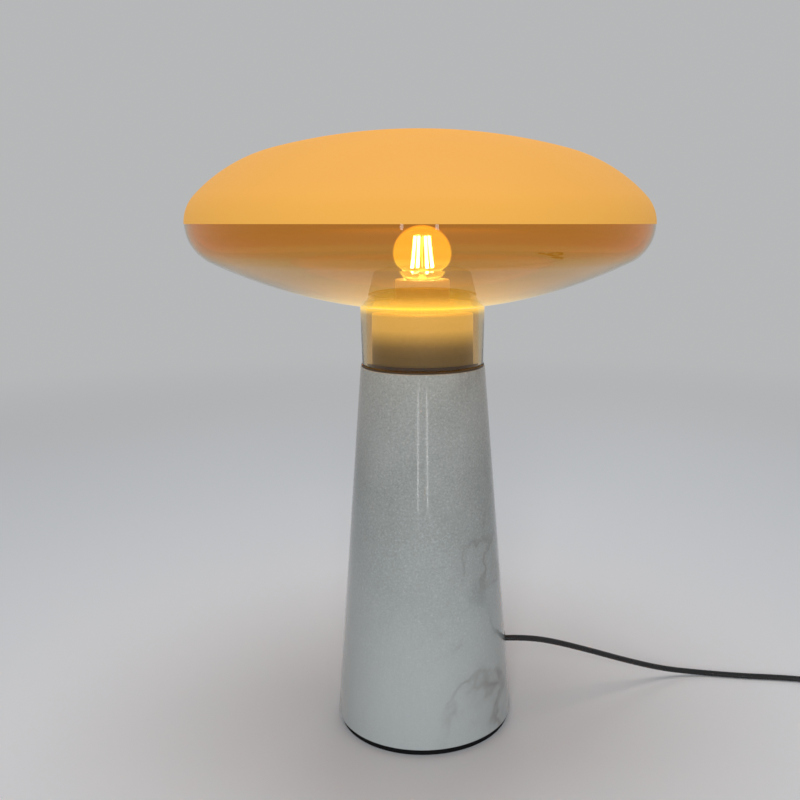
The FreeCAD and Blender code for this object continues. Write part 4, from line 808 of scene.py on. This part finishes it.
def make_holder():
    """The lampholder's outer shell: a shoulder that the sleeve hangs on, and the pale collar."""
    inside, outside, shoulder, mouth = 0.0196, 0.0218, 0.0250, 0.0152
    foot, under, seat, groove, ceiling, top = 0.3318, 0.3436, 0.3478, 0.3598, 0.3706, 0.3728
    deep = outside - 0.0004
    bm = outlined([
        (inside, foot), (outside, foot), (outside, under), (shoulder, under),
        (shoulder, seat), (outside, seat), (outside, groove - 0.0008),
        (deep, groove - 0.0004), (deep, groove + 0.0004), (outside, groove + 0.0008),
        (outside, top), (mouth, top), (mouth, ceiling), (inside, ceiling),
    ])
    soften(bm, [(outside, top, 0.0011), (mouth, top, 0.0006), (shoulder, seat, 0.0003)])
    turned("holder_collar", bm, "holder_white", "lamp", ["holder_shell"], 128)


make_foot()
make_column()
make_filaments()
make_seat()
make_holder()
make_shade()
make_coat()
make_sleeve()
make_bulb()

# ---------------------------------------------------------------- stage and light


ROOM = (0.47, 0.475, 0.48)


def make_floor():
    """A wide floor that keeps the lamp's shadow and is paler to the eye than to the light."""
    bm = bmesh.new()
    bmesh.ops.create_grid(bm, x_segments=8, y_segments=8, size=6.0)
    mesh = bpy.data.meshes.new("floor")
    bm.to_mesh(mesh)
    bm.free()
    floor = bpy.data.objects.new("floor", mesh)
    bpy.context.collection.objects.link(floor)
    finish = Finish("floor")
    seen = finish.node("LightPath")
    seen = finish.math("MAXIMUM", seen.outputs["Is Camera Ray"],
                       finish.math("MAXIMUM", seen.outputs["Is Glossy Ray"],
                                   seen.outputs["Is Transmission Ray"]))
    plain = finish.ramp(finish.noise(0.6, 2.0), [(0.3, (0.87, 0.90, 0.94)),
                                                 (0.7, (0.90, 0.93, 0.97))])
    finish.colour(finish.mix(seen, (0.45, 0.45, 0.46), plain))
    finish.set(Roughness=0.6)
    # Far off, the floor turns into the colour of the room behind it.
    far = finish.range(finish.length(finish.place), 0.45, 2.2)
    room = finish.node("Emission")
    room.inputs["Color"].default_value = (*ROOM, 1.0)
    blend = finish.node("MixShader")
    finish.link(far, blend.inputs[0])
    finish.link(finish.shader.outputs[0], blend.inputs[1])
    finish.link(room.outputs[0], blend.inputs[2])
    finish.link(blend.outputs[0], finish.tree.nodes["Material Output"].inputs["Surface"])
    floor.data.materials.append(finish.material)


def lamp_panel(name, place, towards, width, height, power, shows=False):
    """A lit rectangle that faces a point."""
    light = bpy.data.lights.new(name, "AREA")
    light.shape = "RECTANGLE"
    light.size = width
    light.size_y = height
    light.energy = power
    made = bpy.data.objects.new(name, light)
    made.location = place
    made.rotation_mode = "QUATERNION"
    made.rotation_quaternion = (Vector(towards) - Vector(place)).to_track_quat("-Z", "Y")
    # The panels light the lamp, but only those that are meant to show do so in its gloss.
    made.visible_camera = False
    made.visible_glossy = shows
    made.visible_transmission = False
    bpy.context.collection.objects.link(made)


def make_light():
    """An even room, three soft panels and two narrow strips."""
    world = bpy.data.worlds.new("room")
    bpy.context.scene.world = world
    world.use_nodes = True
    tree = world.node_tree
    background = tree.nodes["Background"]
    background.inputs["Color"].default_value = (*ROOM, 1.0)
    # What is seen, directly or in gloss and glass, is the room; its diffuse light is a quarter.
    paths = tree.nodes.new("ShaderNodeLightPath")
    level = tree.nodes.new("ShaderNodeMapRange")
    level.inputs["To Min"].default_value = 1.0
    level.inputs["To Max"].default_value = 0.25
    tree.links.new(paths.outputs["Is Diffuse Ray"], level.inputs["Value"])
    tree.links.new(level.outputs["Result"], background.inputs["Strength"])
    lamp_panel("front_panel", (-0.10, -2.6, 1.15), (0.0, 0.0, 0.18), 0.9, 0.9, 33.0)
    lamp_panel("high_panel", (0.0, 0.1, 2.3), (0.0, 0.0, 0.0), 1.4, 1.4, 18.5)
    lamp_panel("back_panel", (0.3, 1.6, 1.2), (0.0, 0.0, 0.3), 1.0, 0.6, 3.0)
    # Two narrow strips far in front draw the thin lines of light on the polished stone.
    for side in (-0.30, 0.22):
        lamp_panel("strip", (side, -2.0, 0.30), (0.0, 0.0, 0.30), 0.05, 0.6, 0.6, True)


make_floor()
make_light()
bpy.context.scene.view_settings.view_transform = "Standard"
